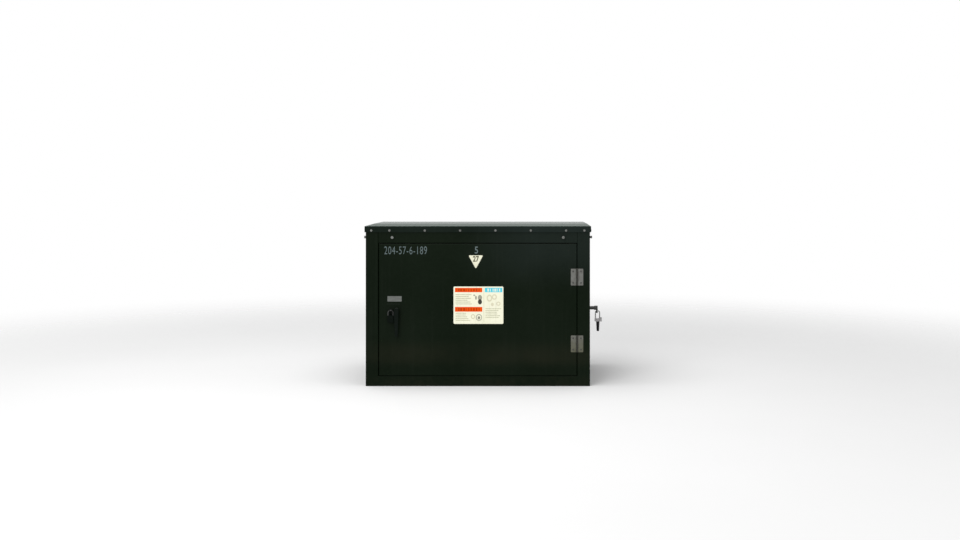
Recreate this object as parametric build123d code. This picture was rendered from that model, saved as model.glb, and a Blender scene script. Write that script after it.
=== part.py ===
from build123d import *
import os
from math import cos, pi, radians, sin, sqrt

# Roadside utility cabinet for three-phase electrical gear. Millimetres.
# X runs to the right as seen from the door, Y away from the viewer and Z up.
# The origin is on the ground, in the middle of the base frame.

# How far a cutter runs past the faces that it goes through
over = 1.0

# Enclosure
body_width = 1614.0
body_depth = 1120.0
wall_top = 1148.0
sheet = 3.0
bend_radius = 4.0
base_height = 71.0
base_foot_flange = 80.0
base_top_flange = 40.0
anchor_inset_x = 87.0
anchor_inset_y = 55.0
anchor_hole_radius = 9.5
top_flange = 40.0
rear_flange = 50.0
seam = 0.8

# Door opening
jamb_width = 91.0
jamb_depth = 45.0
strike_width = 45.0
header_height = 119.0
sill_leg = 28.0
gasket_width = 14.0
gasket_thickness = 3.5

# Roof
roof_overhang = 8.0
roof_skirt = 44.0
roof_crown = 2.5
roof_corner_radius = 5.0
roof_rim_radius = 4.0
roof_screw_pitch = 254.0
roof_screw_end = 49.0
side_screw_end = 60.0
roof_screw_drop = 31.5
roof_screw_grip = 16.0
rear_bolt_grip = 12.0

# Fasteners
hex_head_across = 14.0
hex_head_height = 5.0
screw_radius = 4.0
lift_head_across = 19.0
lift_head_height = 8.0
lift_bolt_radius = 6.0
lift_bolt_length = 18.0
lift_collar_radius = 8.0
lift_collar_height = 10.0
hole_clearance = 0.2
pan_head_radius = 6.0
pan_head_height = 3.0
pan_screw_radius = 3.0
pan_screw_length = 11.0

rear_bolt_count = 5
rear_bolt_inset = 65.0

# Lifting points
lift_inset = 192.0
side_lift_inset = 65.0
lift_drop = 78.0
lift_plate = (100.0, 60.0, 6.0)

# Door
door_gap = 5.0
door_sill_gap = 1.5
door_depth = 38.0
door_lip = 25.0
door_bend = 4.0
stiffener_x = 250.0
stiffener_width = 50.0
stiffener_flange = 22.0
stiffener_depth = 30.0
stiffener_end_gap = 8.0

# Hinges
lower_hinge_rise = 229.0
upper_hinge_drop = 239.5
hinge_length = 120.0
hinge_leaf_reach = 44.5
hinge_leaf = 3.0
hinge_leaf_corner = 5.0
knuckle_radius = 6.5
knuckle_land = 1.5
knuckle_count = 5
knuckle_gap = 0.4
pin_radius = 3.5
pin_head_radius = 6.0
pin_head_height = 3.0
running_clearance = 0.05
hinge_screw_reach = 28.0
hinge_screw_spread = 82.0

# Latch on the door
latch_inset = 128.0
latch_z = 548.0
escutcheon_size = (106.0, 112.0, 4.0)
escutcheon_left = 24.0
escutcheon_drop = 12.0
escutcheon_corner = 8.0
escutcheon_bevel = 1.6
hub_radius = 17.0
hub_length = 36.0
lever_length = 178.0
lever_end_radius = 11.0
lever_thickness = 10.0
lever_edge = 3.0
shaft_radius = 10.0
shaft_clearance = 1.0
shaft_socket = 20.0
bearing_radius = 17.0
bearing_flange_radius = 30.0
bearing_flange = 5.0
cam_thickness = 5.0
cam_boss_radius = 19.0
cam_eye_radius = 11.0
cam_throw = 24.0
cam_pin_radius = 5.0
cam_pin_length = 6.0
rod_width = 22.0
rod_thickness = 5.0
rod_head_width = 34.0
rod_head_height = 26.0
rod_slot_slack = 1.2
rod_setback = 13.0
rod_corner = 6.0
rod_end_bevel = 5.0
rod_gap = 0.5
rod_end_gap = 2.0
rod_clearance = 0.3
guide_width = 40.0
guide_foot = 22.0
guide_lip = 5.0
guide_corner = 4.0
guide_from_tip = 57.0
guide_from_latch = 150.0

# Lock guard, security bolt and the padlock at the latch
guard_left = 42.0
guard_drop = 9.0
guard_width = 22.0
guard_foot_drop = 50.0
guard_ear_drop = 22.0
guard_rise = 18.0
guard_ear_reach = 32.0
guard_eye_rise = 5.0
guard_eye_y = 20.0
guard_eye_radius = 8.0
guard_ear_corner = 8.0
security_bolt_drop = 14.0
security_bolt_across = 14.0
security_bolt_head = 8.0
security_bolt_radius = 5.0
security_bolt_length = 24.0
padlock_rod_radius = 4.5
padlock_bend_radius = 17.5
padlock_case_size = (46.0, 22.0, 52.0)
padlock_case_corner = 7.0
padlock_case_edge = 3.0
padlock_leg = 28.0
padlock_socket = 10.0
padlock_rest = 0.3

# Plates on the door
label_x = 4.5
label_z = 582.25
label_size = (358.5, 268.5, 1.0)
label_corner = 8.0
name_plate_inset = 112.0
name_plate_rise = 80.0
name_plate_size = (102.0, 38.5, 1.5)
name_plate_corner = 3.0
name_plate_border = 5.0
name_plate_recess = 0.4
triangle_x = -14.5
triangle_drop = 83.0
triangle_width = 105.0
triangle_height = 97.0
triangle_corner = 5.0
triangle_thickness = 0.8

# Switch inside
switch_z = 508.0
phase_pitch = 400.0
blade_reach = 185.0
blade_tip_radius = 20.0
blade_thickness = 6.0
blade_eye_radius = 44.0
hub_outer_radius = 30.0
hub_width = 70.0
hub_collar_width = 8.0
hub_collar_rise = 6.0
jaw_clearance = 0.4
jaw_sheet = 3.0
jaw_grip = 40.0
jaw_tip_gap = 5.0
jaw_corner = 10.0
pad_thickness = 6.0
pad_width = 50.0
pad_front = 20.0
pad_back = 130.0
pad_corner = 8.0
lug_hole_radius = 7.0
lug_pitch = 44.45
lug_end = 22.0
insulator_length = 136.0
insulator_core = 24.0
insulator_shed = 40.0
insulator_sheds = 4
# Where a rib's slope starts, its rim starts and ends and its underside ends, in shares of the pitch
shed_shares = (0.45, 0.62, 0.74, 0.95)
insulator_cap_radius = 28.0
insulator_cap = 14.0
channel_width = 80.0
channel_flange = 40.0
channel_sheet = 4.0
channel_end = (60.0, 100.0)
barrier_thickness = 4.0
barrier_front = 230.0
barrier_back = 300.0
barrier_corner = 12.0
shaft_outer = 16.0
shaft_wall = 5.0
shaft_hole = 24.0
end_bearing_radius = 28.0
end_bearing_length = 38.0
end_bearing_flange_radius = 44.0
end_bearing_flange = 8.0
end_bearing_socket = 30.0
coupling_radius = 26.0
coupling_length = 70.0
coupling_inset = 117.0
drive_size = (56.0, 130.0, 170.0)
drive_corner = 10.0
drive_cover = 6.0
drive_cover_inset = 8.0

# Ground bus
bus_length = 1200.0
bus_height = 40.0
bus_thickness = 6.0
bus_z = 170.0
bus_standoff = 38.0
bus_support_x = 520.0
bus_support_width = 40.0
bus_hole_count = 6
bus_support_foot = 30.0
bus_support_step = 6.0

# Crank on the right side
spindle_radius = 13.0
spindle_reach = 78.0
spindle_clearance = 2.0
flange_radius = 45.0
flange_thickness = 8.0
flange_hub_radius = 22.0
flange_hub_length = 24.0
flange_bolt_circle = 33.0
flange_bolt_count = 4
crank_plate = 10.0
crank_hub_radius = 16.5
crank_hub_length = 26.0
crank_eye_drop = 25.0
crank_eye_radius = 7.5
crank_eye_wall = 7.5
side_lock_inset = 0.0
side_rod_radius = 4.5
side_bend_radius = 16.0
side_leg = 52.5
side_head_size = (54.0, 27.0, 23.0)
side_head_offset = 5.0
side_head_corner = 3.0
side_shoulder = (10.0, 8.0)
side_barrel_offset = 2.0
side_barrel_radii = (13.0, 9.5)
side_barrel_length = 74.0
side_barrel_bevel = 2.0

# Derived planes and edges
half_x = body_width / 2
half_y = body_depth / 2
front_y = -half_y
half_sheet = sheet / 2
jamb_x = half_x - jamb_width
strike_back = front_y + jamb_depth
strike_front = strike_back - sheet
strike_x = jamb_x - strike_width
opening_top = wall_top - header_height
door_half = jamb_x - door_gap
door_bottom = base_height + sheet + door_sill_gap
door_top = opening_top - door_gap
door_back = front_y + door_depth
pin_x = jamb_x - door_gap / 2
pin_y = front_y - knuckle_radius
roof_half_x = half_x + roof_overhang
roof_half_y = half_y + roof_overhang
roof_top = wall_top + sheet
roof_screw_z = roof_top - roof_screw_drop
lift_height = wall_top - lift_drop
hinge_heights = (door_bottom + lower_hinge_rise, door_top - upper_hinge_drop)
latch_x = -door_half + latch_inset
escutcheon_x = latch_x - escutcheon_left
escutcheon_z = latch_z - escutcheon_drop
triangle_top = door_top - triangle_drop
guard_x = latch_x - guard_left
guard_z = latch_z - guard_drop
guard_foot_z = guard_z - guard_foot_drop
guard_ear_z = (guard_z - guard_ear_drop, guard_z + guard_rise)
guard_eye_z = guard_z + guard_eye_rise
security_bolt_z = guard_z - security_bolt_drop
name_plate_x = -door_half + name_plate_inset
name_plate_z = latch_z + name_plate_rise
coupling_x = half_x - coupling_inset
bearing_front = front_y + sheet
rod_back = strike_back + rod_setback
rod_front = rod_back - rod_thickness
cam_back = rod_front - rod_gap
cam_front = cam_back - cam_thickness
shaft_bore = shaft_radius + running_clearance
shaft_hole_radius = shaft_radius + shaft_clearance
tube_bore = shaft_outer + running_clearance
spindle_bore = spindle_radius + running_clearance

# Directions that a fastener's head can face
turns = {"front": 0, "right": 90, "back": 180, "left": 270}
facing = {side: Rot(0, 0, turn) * Rot(90, 0, 0) for side, turn in turns.items()}


def block(x, y, z):
    """A box between a low and a high limit on each axis."""
    middle = Pos((x[0] + x[1]) / 2, (y[0] + y[1]) / 2, (z[0] + z[1]) / 2)
    return middle * Box(x[1] - x[0], y[1] - y[0], z[1] - z[0])


def bar_x(radius, x, y, z):
    """A round bar along X between two limits."""
    return Pos((x[0] + x[1]) / 2, y, z) * Rot(0, 90, 0) * Cylinder(radius, x[1] - x[0])


def bar_y(radius, x, y, z):
    """A round bar along Y between two limits."""
    return Pos(x, (y[0] + y[1]) / 2, z) * Rot(90, 0, 0) * Cylinder(radius, y[1] - y[0])


def bar_z(radius, x, y, z):
    """A round bar along Z between two limits."""
    return Pos(x, y, (z[0] + z[1]) / 2) * Cylinder(radius, z[1] - z[0])


def folded(plane, points, length, thickness=sheet, radius=bend_radius):
    """A folded sheet: the middle line of its section, extruded."""
    line = FilletPolyline(*points, radius=radius)
    return extrude(plane * trace(line, line_width=thickness), amount=length)


def group(pieces):
    """Several separate solids in one node."""
    return Compound([solid for piece in pieces for solid in piece.solids()])


def hex_bolt(across, head, radius, length):
    """A hexagon bolt: the head stands on the plane z = 0 and the shank goes down."""
    top = extrude(RegularPolygon(across / 2, 6, major_radius=False), amount=head)
    return top + Pos(0, 0, -length / 2) * Cylinder(radius, length)


def pan_screw(radius, head_radius, head, length):
    """A screw with a low domed head."""
    dome = Pos(0, 0, head / 2) * Cylinder(head_radius, head)
    dome = fillet(dome.edges().filter_by(GeomType.CIRCLE).sort_by(Axis.Z)[-1], head * 0.6)
    return dome + Pos(0, 0, -length / 2) * Cylinder(radius, length)


def clearance_hole(radius, depth):
    """The hole round a shank: it starts above the plane z = 0 and goes down."""
    lead = sheet
    return Pos(0, 0, (lead - depth) / 2) * Cylinder(radius + hole_clearance, depth + lead)


def plate_with_corners(width, height, thickness, corner):
    """A flat plate in the XZ plane with round corners, its back on y = 0."""
    return extrude(Plane.XZ * RectangleRounded(width, height, corner), amount=thickness)


def screw_row(start, end):
    """Places along a skirt: even steps from the middle, and one at each end."""
    row = [end]
    place = start
    while place < end - roof_screw_pitch / 3:
        row.append(place)
        place += roof_screw_pitch
    return sorted({sign * place for place in row for sign in (-1, 1)})


def roof_screw_places():
    """Where each roof screw sits on the skirt, with the way its head faces."""
    places = []
    for x in screw_row(roof_screw_pitch / 2, roof_half_x - roof_screw_end):
        places.append(Pos(x, -roof_half_y, roof_screw_z) * facing["front"])
        places.append(Pos(x, roof_half_y, roof_screw_z) * facing["back"])
    for y in screw_row(0.0, roof_half_y - side_screw_end):
        places.append(Pos(-roof_half_x, y, roof_screw_z) * facing["left"])
        places.append(Pos(roof_half_x, y, roof_screw_z) * facing["right"])
    return places


def lifting_places():
    """Where each lifting bolt goes through a wall, two on every side."""
    places = []
    for sign in (-1, 1):
        x = sign * (half_x - lift_inset)
        y = sign * (half_y - side_lift_inset)
        places.append(Pos(x, -half_y, lift_height) * facing["front"])
        places.append(Pos(x, half_y, lift_height) * facing["back"])
        places.append(Pos(-half_x, y, lift_height) * facing["left"])
        places.append(Pos(half_x, y, lift_height) * facing["right"])
    return places


def rear_bolt_places():
    """Where the rear wall is bolted to the side walls' rear flanges."""
    low = base_height + rear_bolt_inset
    pitch = (wall_top - rear_bolt_inset - low) / (rear_bolt_count - 1)
    heights = [low + pitch * step for step in range(rear_bolt_count)]
    x = half_x - rear_flange / 2
    return [Pos(sign * x, half_y, z) * facing["back"] for sign in (-1, 1) for z in heights]


def holes(places, radius, length):
    """Clearance holes for a row of fasteners, a little deeper than their shanks."""
    return [place * clearance_hole(radius, length + over) for place in places]


roof_holes = holes(roof_screw_places(), screw_radius, roof_screw_grip)
lift_holes = holes(lifting_places(), lift_bolt_radius, lift_bolt_length)
rear_holes = holes(rear_bolt_places(), screw_radius, rear_bolt_grip)


def base_frame():
    """Welded ring of channel, open inwards, with an anchor hole at each corner."""
    ring = block((-half_x, half_x), (-half_y, half_y), (0, base_height))
    ring = fillet(ring.edges().filter_by(Axis.Z), bend_radius)
    ring -= block((-half_x + sheet, half_x - sheet), (-half_y + sheet, half_y - sheet),
                  (sheet, base_height - sheet))
    foot_x = half_x - base_foot_flange
    foot_y = half_y - base_foot_flange
    ring -= block((-foot_x, foot_x), (-foot_y, foot_y), (0, sheet))
    lip_x = half_x - base_top_flange
    lip_y = half_y - base_top_flange
    ring -= block((-lip_x, lip_x), (-lip_y, lip_y), (base_height - sheet, base_height))
    for sx in (-1, 1):
        for sy in (-1, 1):
            x = sx * (half_x - anchor_inset_x)
            y = sy * (half_y - anchor_inset_y)
            ring -= bar_z(anchor_hole_radius, x, y, (-over, sheet + over))
    return ring


def side_wall(side):
    """One side wall, folded round the front corner into the strip beside the door,
    back along the opening and across to the strike that the gasket sits on."""
    c = side * (jamb_x + half_sheet)
    wall_x = side * (half_x - half_sheet)
    points = [
        (side * strike_x, strike_back - half_sheet),
        (c, strike_back - half_sheet),
        (c, front_y + half_sheet),
        (wall_x, front_y + half_sheet),
        (wall_x, half_y - sheet - half_sheet),
        (side * (half_x - rear_flange), half_y - sheet - half_sheet),
    ]
    wall = folded(Plane.XY.offset(base_height), points, wall_top - base_height)
    notch_x = sorted((side * (strike_x - over), side * jamb_x))
    notch_y = (strike_front - bend_radius - sheet, strike_back + over)
    wall -= block(notch_x, notch_y, (opening_top - seam, wall_top))
    flange_x = sorted((side * (half_x - sheet - top_flange), side * (half_x - sheet)))
    wall += block(flange_x, (strike_back, half_y - 2 * sheet), (wall_top - sheet, wall_top))
    wall -= roof_holes + lift_holes + rear_holes
    if side > 0:
        wall -= bar_x(spindle_radius + spindle_clearance, (half_x - 2 * sheet, half_x + over), 0, switch_z)
        wall -= flange_bolt_holes() + hinge_screw_holes(1)
    return wall


def header_rail():
    """Folded rail over the door: top flange, face, return and strike."""
    points = [
        (front_y + top_flange, wall_top - half_sheet),
        (front_y + half_sheet, wall_top - half_sheet),
        (front_y + half_sheet, opening_top + half_sheet),
        (strike_back - half_sheet, opening_top + half_sheet),
        (strike_back - half_sheet, opening_top - strike_width),
    ]
    half = jamb_x - seam
    rail = Pos(-half, 0, 0) * folded(Plane.YZ, points, 2 * half)
    for side in (-1, 1):
        ends = sorted((side * (strike_x - seam), side * (half + over)))
        rail -= block(ends, (strike_front - bend_radius, strike_back + over), (0, opening_top))
    return rail - (roof_holes + lift_holes)


def sill_rail():
    """Angle on the base frame that carries the lower strike."""
    points = [
        (strike_back - sill_leg, base_height + half_sheet),
        (strike_back - half_sheet, base_height + half_sheet),
        (strike_back - half_sheet, base_height + strike_width),
    ]
    half = strike_x - seam
    return Pos(-half, 0, 0) * folded(Plane.YZ, points, 2 * half)


def rear_wall():
    """Flat rear wall with a flange at the top that the roof sits on."""
    wall = block((-half_x, half_x), (half_y - sheet, half_y), (base_height, wall_top))
    flange_half = half_x - rear_flange - sheet
    wall += block((-flange_half, flange_half), (half_y - sheet - top_flange, half_y - sheet),
                  (wall_top - sheet, wall_top))
    return wall - (roof_holes + lift_holes + rear_holes)


def roof_section(half_depth, drop, low):
    """End view of the roof: low at the front and back, with a shallow ridge between."""
    edge = roof_top - drop
    ridge = edge + roof_crown
    points = [(-half_depth, low), (-half_depth, edge), (0, ridge), (half_depth, edge), (half_depth, low)]
    return Plane.YZ * make_face(Polyline(*points, close=True))


def roof_cover():
    """Roof pan with a shallow ridge along X and a skirt on all four sides."""
    low = roof_top - roof_skirt
    shell = extrude(roof_section(roof_half_y, 0, low), amount=roof_half_x, both=True)
    shell = fillet(shell.edges().filter_by(Axis.Z), roof_corner_radius)
    slopes = shell.faces().filter_by(lambda face: face.normal_at().Z > 0.9)
    rim = slopes.edges().filter_by(lambda edge: edge.center().Z < roof_top + 0.75 * roof_crown)
    shell = fillet(rim, roof_rim_radius)
    inside = roof_section(roof_half_y - sheet, sheet, low - over)
    inside = extrude(inside, amount=roof_half_x - sheet, both=True)
    return shell - inside - roof_holes


def door_panel():
    """Door pan: the face, a return on each side and a lip turned inwards."""
    panel = block((-door_half, door_half), (front_y, door_back), (door_bottom, door_top))
    panel = fillet(panel.faces().sort_by(Axis.Y)[0].edges(), door_bend)
    panel -= block((-door_half + sheet, door_half - sheet), (front_y + sheet, door_back - sheet),
                   (door_bottom + sheet, door_top - sheet))
    lip_x = door_half - door_lip
    lip_z = (door_bottom + door_lip, door_top - door_lip)
    panel -= block((-lip_x, lip_x), (door_back - sheet, door_back), lip_z)
    panel -= bar_y(shaft_hole_radius, latch_x, (front_y - over, front_y + sheet + over), latch_z)
    bolt = Pos(guard_x, front_y, security_bolt_z) * facing["front"]
    panel -= bolt * clearance_hole(security_bolt_radius, 2 * sheet)
    return panel - hinge_screw_holes(-1)


def door_stiffeners():
    """Two hat-section stiffeners behind the door's face."""
    low = door_bottom + door_lip + stiffener_end_gap
    high = door_top - door_lip - stiffener_end_gap
    back = front_y + sheet
    side = stiffener_width / 2
    points = [
        (-side - stiffener_flange, back + half_sheet),
        (-side, back + half_sheet),
        (-side, back + stiffener_depth - half_sheet),
        (side, back + stiffener_depth - half_sheet),
        (side, back + half_sheet),
        (side + stiffener_flange, back + half_sheet),
    ]
    hat = folded(Plane.XY.offset(low), points, high - low)
    return group([Pos(x, 0, 0) * hat for x in (-stiffener_x, stiffener_x)])


def door_gasket():
    """Rubber strip round the opening, on the strikes."""
    outer_x = door_half - (door_lip - gasket_width) / 2
    inner_x = outer_x - gasket_width
    outer_low = door_bottom + (door_lip - gasket_width) / 2
    outer_high = door_top - (door_lip - gasket_width) / 2
    depth = (strike_front - gasket_thickness, strike_front)
    ring = block((-outer_x, outer_x), depth, (outer_low, outer_high))
    ring = fillet(ring.edges().filter_by(Axis.Y), gasket_width)
    return ring - block((-inner_x, inner_x), depth, (outer_low + gasket_width, outer_high - gasket_width))


def knuckle_spans(own, middle):
    """Heights of the knuckles that one leaf carries: the frame's are even, the door's odd."""
    pitch = hinge_length / knuckle_count
    low = middle - hinge_length / 2
    spans = []
    for step in range(knuckle_count):
        if step % 2 == own:
            spans.append((low + step * pitch + knuckle_gap / 2, low + (step + 1) * pitch - knuckle_gap / 2))
    return spans


def hinge_leaf_piece(side, middle):
    """One leaf of a butt hinge with its knuckles, bored for the pin and the screws."""
    inner = pin_x + side * (knuckle_radius + knuckle_land)
    outer = pin_x + side * hinge_leaf_reach
    depth = (front_y - hinge_leaf, front_y)
    height = (middle - hinge_length / 2, middle + hinge_length / 2)
    leaf = block(sorted((inner, outer)), depth, height)
    far = sorted(leaf.edges().filter_by(Axis.Y), key=lambda e: side * e.center().X)[-2:]
    leaf = fillet(far, hinge_leaf_corner)
    for span in knuckle_spans(0 if side > 0 else 1, middle):
        leaf += block(sorted((pin_x, inner)), depth, span)
        leaf += bar_z(knuckle_radius, pin_x, pin_y, span)
    leaf -= bar_z(pin_radius + running_clearance, pin_x, pin_y, (height[0] - over, height[1] + over))
    return leaf - hinge_screw_holes(side)


def hinge_screw_places(side):
    """Two screws in each leaf, near its top and its bottom."""
    x = pin_x + side * hinge_screw_reach
    y = front_y - hinge_leaf
    spread = hinge_screw_spread / 2
    heights = [middle + rise for middle in hinge_heights for rise in (-spread, spread)]
    return [Pos(x, y, z) * facing["front"] for z in heights]


def hinge_screw_holes(side):
    """Holes in the leaf and in the sheet behind it."""
    return holes(hinge_screw_places(side), pan_screw_radius, pan_screw_length)


def hinge_screws(side):
    """Screws that hold the leaves on one side of the hinges."""
    screw = pan_screw(pan_screw_radius, pan_head_radius, pan_head_height, pan_screw_length)
    return group([place * screw for place in hinge_screw_places(side)])


def hinge_pin(middle):
    """Hinge pin with a button head resting on the top knuckle."""
    top = middle + hinge_length / 2 - knuckle_gap / 2
    pin = bar_z(pin_radius, pin_x, pin_y, (middle - hinge_length / 2, top))
    head = bar_z(pin_head_radius, pin_x, pin_y, (top, top + pin_head_height))
    head = fillet(head.edges().filter_by(GeomType.CIRCLE).sort_by(Axis.Z)[-1], pin_head_height / 2)
    return pin + head


def latch_escutcheon():
    """Pressed plate behind the lever's hub and the lock guard."""
    width, height, thickness = escutcheon_size
    plate = plate_with_corners(width, height, thickness, escutcheon_corner)
    plate = Pos(escutcheon_x, front_y, escutcheon_z) * plate
    rim = plate.faces().sort_by(Axis.Y)[0].edges()
    plate = chamfer(rim, escutcheon_bevel)
    plate -= bar_y(shaft_hole_radius, latch_x, (front_y - thickness - over, front_y + over), latch_z)
    bolt = Pos(guard_x, front_y - thickness, security_bolt_z) * facing["front"]
    return plate - bolt * clearance_hole(security_bolt_radius, thickness + over)


def latch_lever():
    """Lever: a hub on the spindle and a tapered arm that hangs from it."""
    face = front_y - escutcheon_size[2] - rod_clearance
    outer = face - hub_length
    circles = Circle(hub_radius).edges() + (Pos(0, -lever_length) * Circle(lever_end_radius)).edges()
    arm = extrude(Plane.XZ * make_hull(circles), amount=lever_thickness)
    arm = Pos(latch_x, outer + lever_thickness, latch_z) * arm
    arm = fillet(arm.faces().sort_by(Axis.Y)[0].edges(), lever_edge)
    hub = bar_y(hub_radius, latch_x, (outer + lever_thickness, face), latch_z)
    socket = bar_y(shaft_bore, latch_x, (face - shaft_socket, face + over), latch_z)
    return arm + hub - socket


def latch_shaft():
    """Shaft from the lever's hub through the door to the cam."""
    face = front_y - escutcheon_size[2] - rod_clearance
    return bar_y(shaft_radius, latch_x, (face - shaft_socket, cam_back), latch_z)


def latch_bearing():
    """Flanged bush on the inside of the door."""
    flange = bar_y(bearing_flange_radius, latch_x, (bearing_front, bearing_front + bearing_flange), latch_z)
    end = cam_front - rod_clearance
    tube = bar_y(bearing_radius, latch_x, (bearing_front + bearing_flange, end), latch_z)
    bore = bar_y(shaft_bore, latch_x, (bearing_front - over, cam_front), latch_z)
    return flange + tube - bore


def cam_pin_place(row):
    """The cam's pins are opposite each other: the upper rod's low on the right (+1),
    the lower rod's high on the left (-1)."""
    reach = cam_throw * cos(radians(45))
    return latch_x + row * reach, latch_z - row * reach


def latch_cam():
    """Two-armed cam with a drive pin at each end."""
    reach = cam_throw * cos(radians(45))
    circles = [Circle(cam_boss_radius)]
    circles += [Pos(row * reach, -row * reach) * Circle(cam_eye_radius) for row in (-1, 1)]
    outline = make_hull([e for c in circles for e in c.edges()])
    cam = Pos(latch_x, cam_back, latch_z) * extrude(Plane.XZ * outline, amount=cam_thickness)
    for row in (-1, 1):
        x, z = cam_pin_place(row)
        cam += bar_y(cam_pin_radius, x, (cam_back, cam_back + cam_pin_length + rod_gap), z)
    return cam - bar_y(shaft_bore, latch_x, (cam_front - over, cam_back + over), latch_z)


def rod_centre(row):
    """X of a rod: the middle of its pin's side-to-side travel."""
    return latch_x + row * cam_throw * (1 + cos(radians(45))) / 2


def rod_tip(row):
    """Height of a rod's end, just clear of the strike that it moves behind."""
    if row > 0:
        return opening_top - strike_width - rod_end_gap
    return base_height + strike_width + rod_end_gap


def latch_rod(row):
    """Flat rod with a slotted head that the cam's pin runs in."""
    x = rod_centre(row)
    z = cam_pin_place(row)[1]
    head = block((x - rod_head_width / 2, x + rod_head_width / 2), (rod_front, rod_back),
                 (z - rod_head_height / 2, z + rod_head_height / 2))
    head = fillet(head.edges().filter_by(Axis.Y), rod_corner)
    tip = rod_tip(row)
    bar = block((x - rod_width / 2, x + rod_width / 2), (rod_front, rod_back), sorted((z, tip)))
    ends = [e for e in bar.edges().filter_by(Axis.Y) if abs(e.center().Z - tip) < 0.1]
    rod = head + chamfer(ends, rod_end_bevel)
    travel = cam_throw * (1 - cos(radians(45)))
    slot_radius = cam_pin_radius + rod_slot_slack
    slot = Plane.XZ * SlotCenterToCenter(travel, 2 * slot_radius)
    slot = extrude(slot, amount=2 * rod_thickness, both=True)
    return rod - Pos(x, rod_front, z) * slot


def guide_heights(row):
    """A rod's two guides: one near the latch and one near the rod's end."""
    return latch_z + row * guide_from_latch, rod_tip(row) - row * guide_from_tip


def rod_guide(row, z):
    """Angle on the door with a window that a rod slides through."""
    x = rod_centre(row)
    across = (x - guide_width / 2, x + guide_width / 2)
    foot = block(across, (bearing_front, bearing_front + sheet), (z, z + guide_foot))
    web = block(across, (bearing_front, rod_back + guide_lip), (z, z + sheet))
    corner = web.edges().filter_by(Axis.Z).sort_by(Axis.Y)[-2:]
    web = fillet(corner, guide_corner)
    window = block((x - rod_width / 2 - rod_clearance, x + rod_width / 2 + rod_clearance),
                   (rod_front - rod_clearance, rod_back + rod_clearance), (z - over, z + sheet + over))
    return foot + web - window


def lock_guard():
    """Folded guard over the security bolt: a foot and two ears with an eye each."""
    plate_front = front_y - escutcheon_size[2]
    half = guard_width / 2
    top = guard_ear_z[1]
    foot = block((guard_x - half, guard_x + half), (plate_front - sheet, plate_front), (guard_foot_z, top))
    bolt = Pos(guard_x, plate_front - sheet, security_bolt_z) * facing["front"]
    guard = foot - bolt * clearance_hole(security_bolt_radius, 2 * sheet)
    for side in (-1, 1):
        x = sorted((guard_x + side * (half - sheet), guard_x + side * half))
        ear = block(x, (plate_front - guard_ear_reach, plate_front), guard_ear_z)
        nose = ear.edges().filter_by(Axis.X).sort_by(Axis.Y)[:2]
        guard += fillet(nose, guard_ear_corner)
    across = (guard_x - half - over, guard_x + half + over)
    return guard - bar_x(guard_eye_radius, across, plate_front - guard_eye_y, guard_eye_z)


def security_bolt():
    """Five-sided bolt head under the guard, with its shank through the door."""
    plate_front = front_y - escutcheon_size[2] - sheet
    head = extrude(RegularPolygon(security_bolt_across / 2, 5), amount=security_bolt_head)
    shank = Pos(0, 0, -security_bolt_length / 2) * Cylinder(security_bolt_radius, security_bolt_length)
    return Pos(guard_x, plate_front, security_bolt_z) * facing["front"] * (head + shank)


def padlock_hang(eye_z, eye_radius, bend, rod, reach):
    """Height of the shackle's bend centre when it hangs on the lower edge of an eye
    whose wall reaches so far from the middle of the loop."""
    return eye_z - eye_radius + padlock_rest - sqrt((bend - rod) ** 2 - reach ** 2)


def shackle(x, y, z, bend, rod, leg):
    """U-shaped shackle in the XZ plane: z is the centre of its bend."""
    left = Line((-bend, -leg), (-bend, 0))
    crown = CenterArc((0, 0), bend, 0, 180)
    right = Line((bend, 0), (bend, -leg))
    section = Pos(-bend, 0, -leg) * Circle(rod)
    path = Plane.XZ * Curve([left, crown, right])
    return Pos(x, y, z) * sweep(section, path=Wire(path.edges()))


latch_padlock_y = front_y - escutcheon_size[2] - guard_eye_y
latch_padlock_z = padlock_hang(guard_eye_z, guard_eye_radius, padlock_bend_radius, padlock_rod_radius,
                               guard_width / 2)


def padlock_case():
    """Padlock body at the latch, with two sockets for the shackle's legs."""
    width, depth, height = padlock_case_size
    top = latch_padlock_z - padlock_leg + padlock_socket
    case = block((guard_x - width / 2, guard_x + width / 2),
                 (latch_padlock_y - depth / 2, latch_padlock_y + depth / 2), (top - height, top))
    case = fillet(case.edges().filter_by(Axis.Y), padlock_case_corner)
    case = fillet(case.faces().sort_by(Axis.Y)[0].edges(), padlock_case_edge)
    for side in (-1, 1):
        case -= bar_z(padlock_rod_radius + running_clearance, guard_x + side * padlock_bend_radius,
                      latch_padlock_y, (top - padlock_socket, top + over))
    return case


def label_panel():
    """Label panel in the middle of the door."""
    width, height, thickness = label_size
    return Pos(label_x, front_y, label_z) * plate_with_corners(width, height, thickness, label_corner)


def name_plate():
    """Small bare plate over the latch, pressed so that a border stands proud."""
    width, height, thickness = name_plate_size
    plate = plate_with_corners(width, height, thickness, name_plate_corner)
    border = 2 * name_plate_border
    inside = RectangleRounded(width - border, height - border, name_plate_corner)
    plate -= Pos(0, -thickness, 0) * extrude(Plane.XZ * inside, amount=-name_plate_recess)
    return Pos(name_plate_x, front_y, name_plate_z) * plate


def triangle_marker():
    """Triangle with its point down."""
    half = triangle_width / 2
    outline = make_face(Polyline((-half, 0), (half, 0), (0, -triangle_height), close=True))
    outline = fillet(outline.vertices(), triangle_corner)
    return Pos(triangle_x, front_y, triangle_top) * extrude(Plane.XZ * outline, amount=triangle_thickness)


# The switch: the upper half is listed as +1 and the lower half as -1.
jaw_base = blade_reach + blade_tip_radius + jaw_tip_gap
phases = (-phase_pitch, 0.0, phase_pitch)


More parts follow.
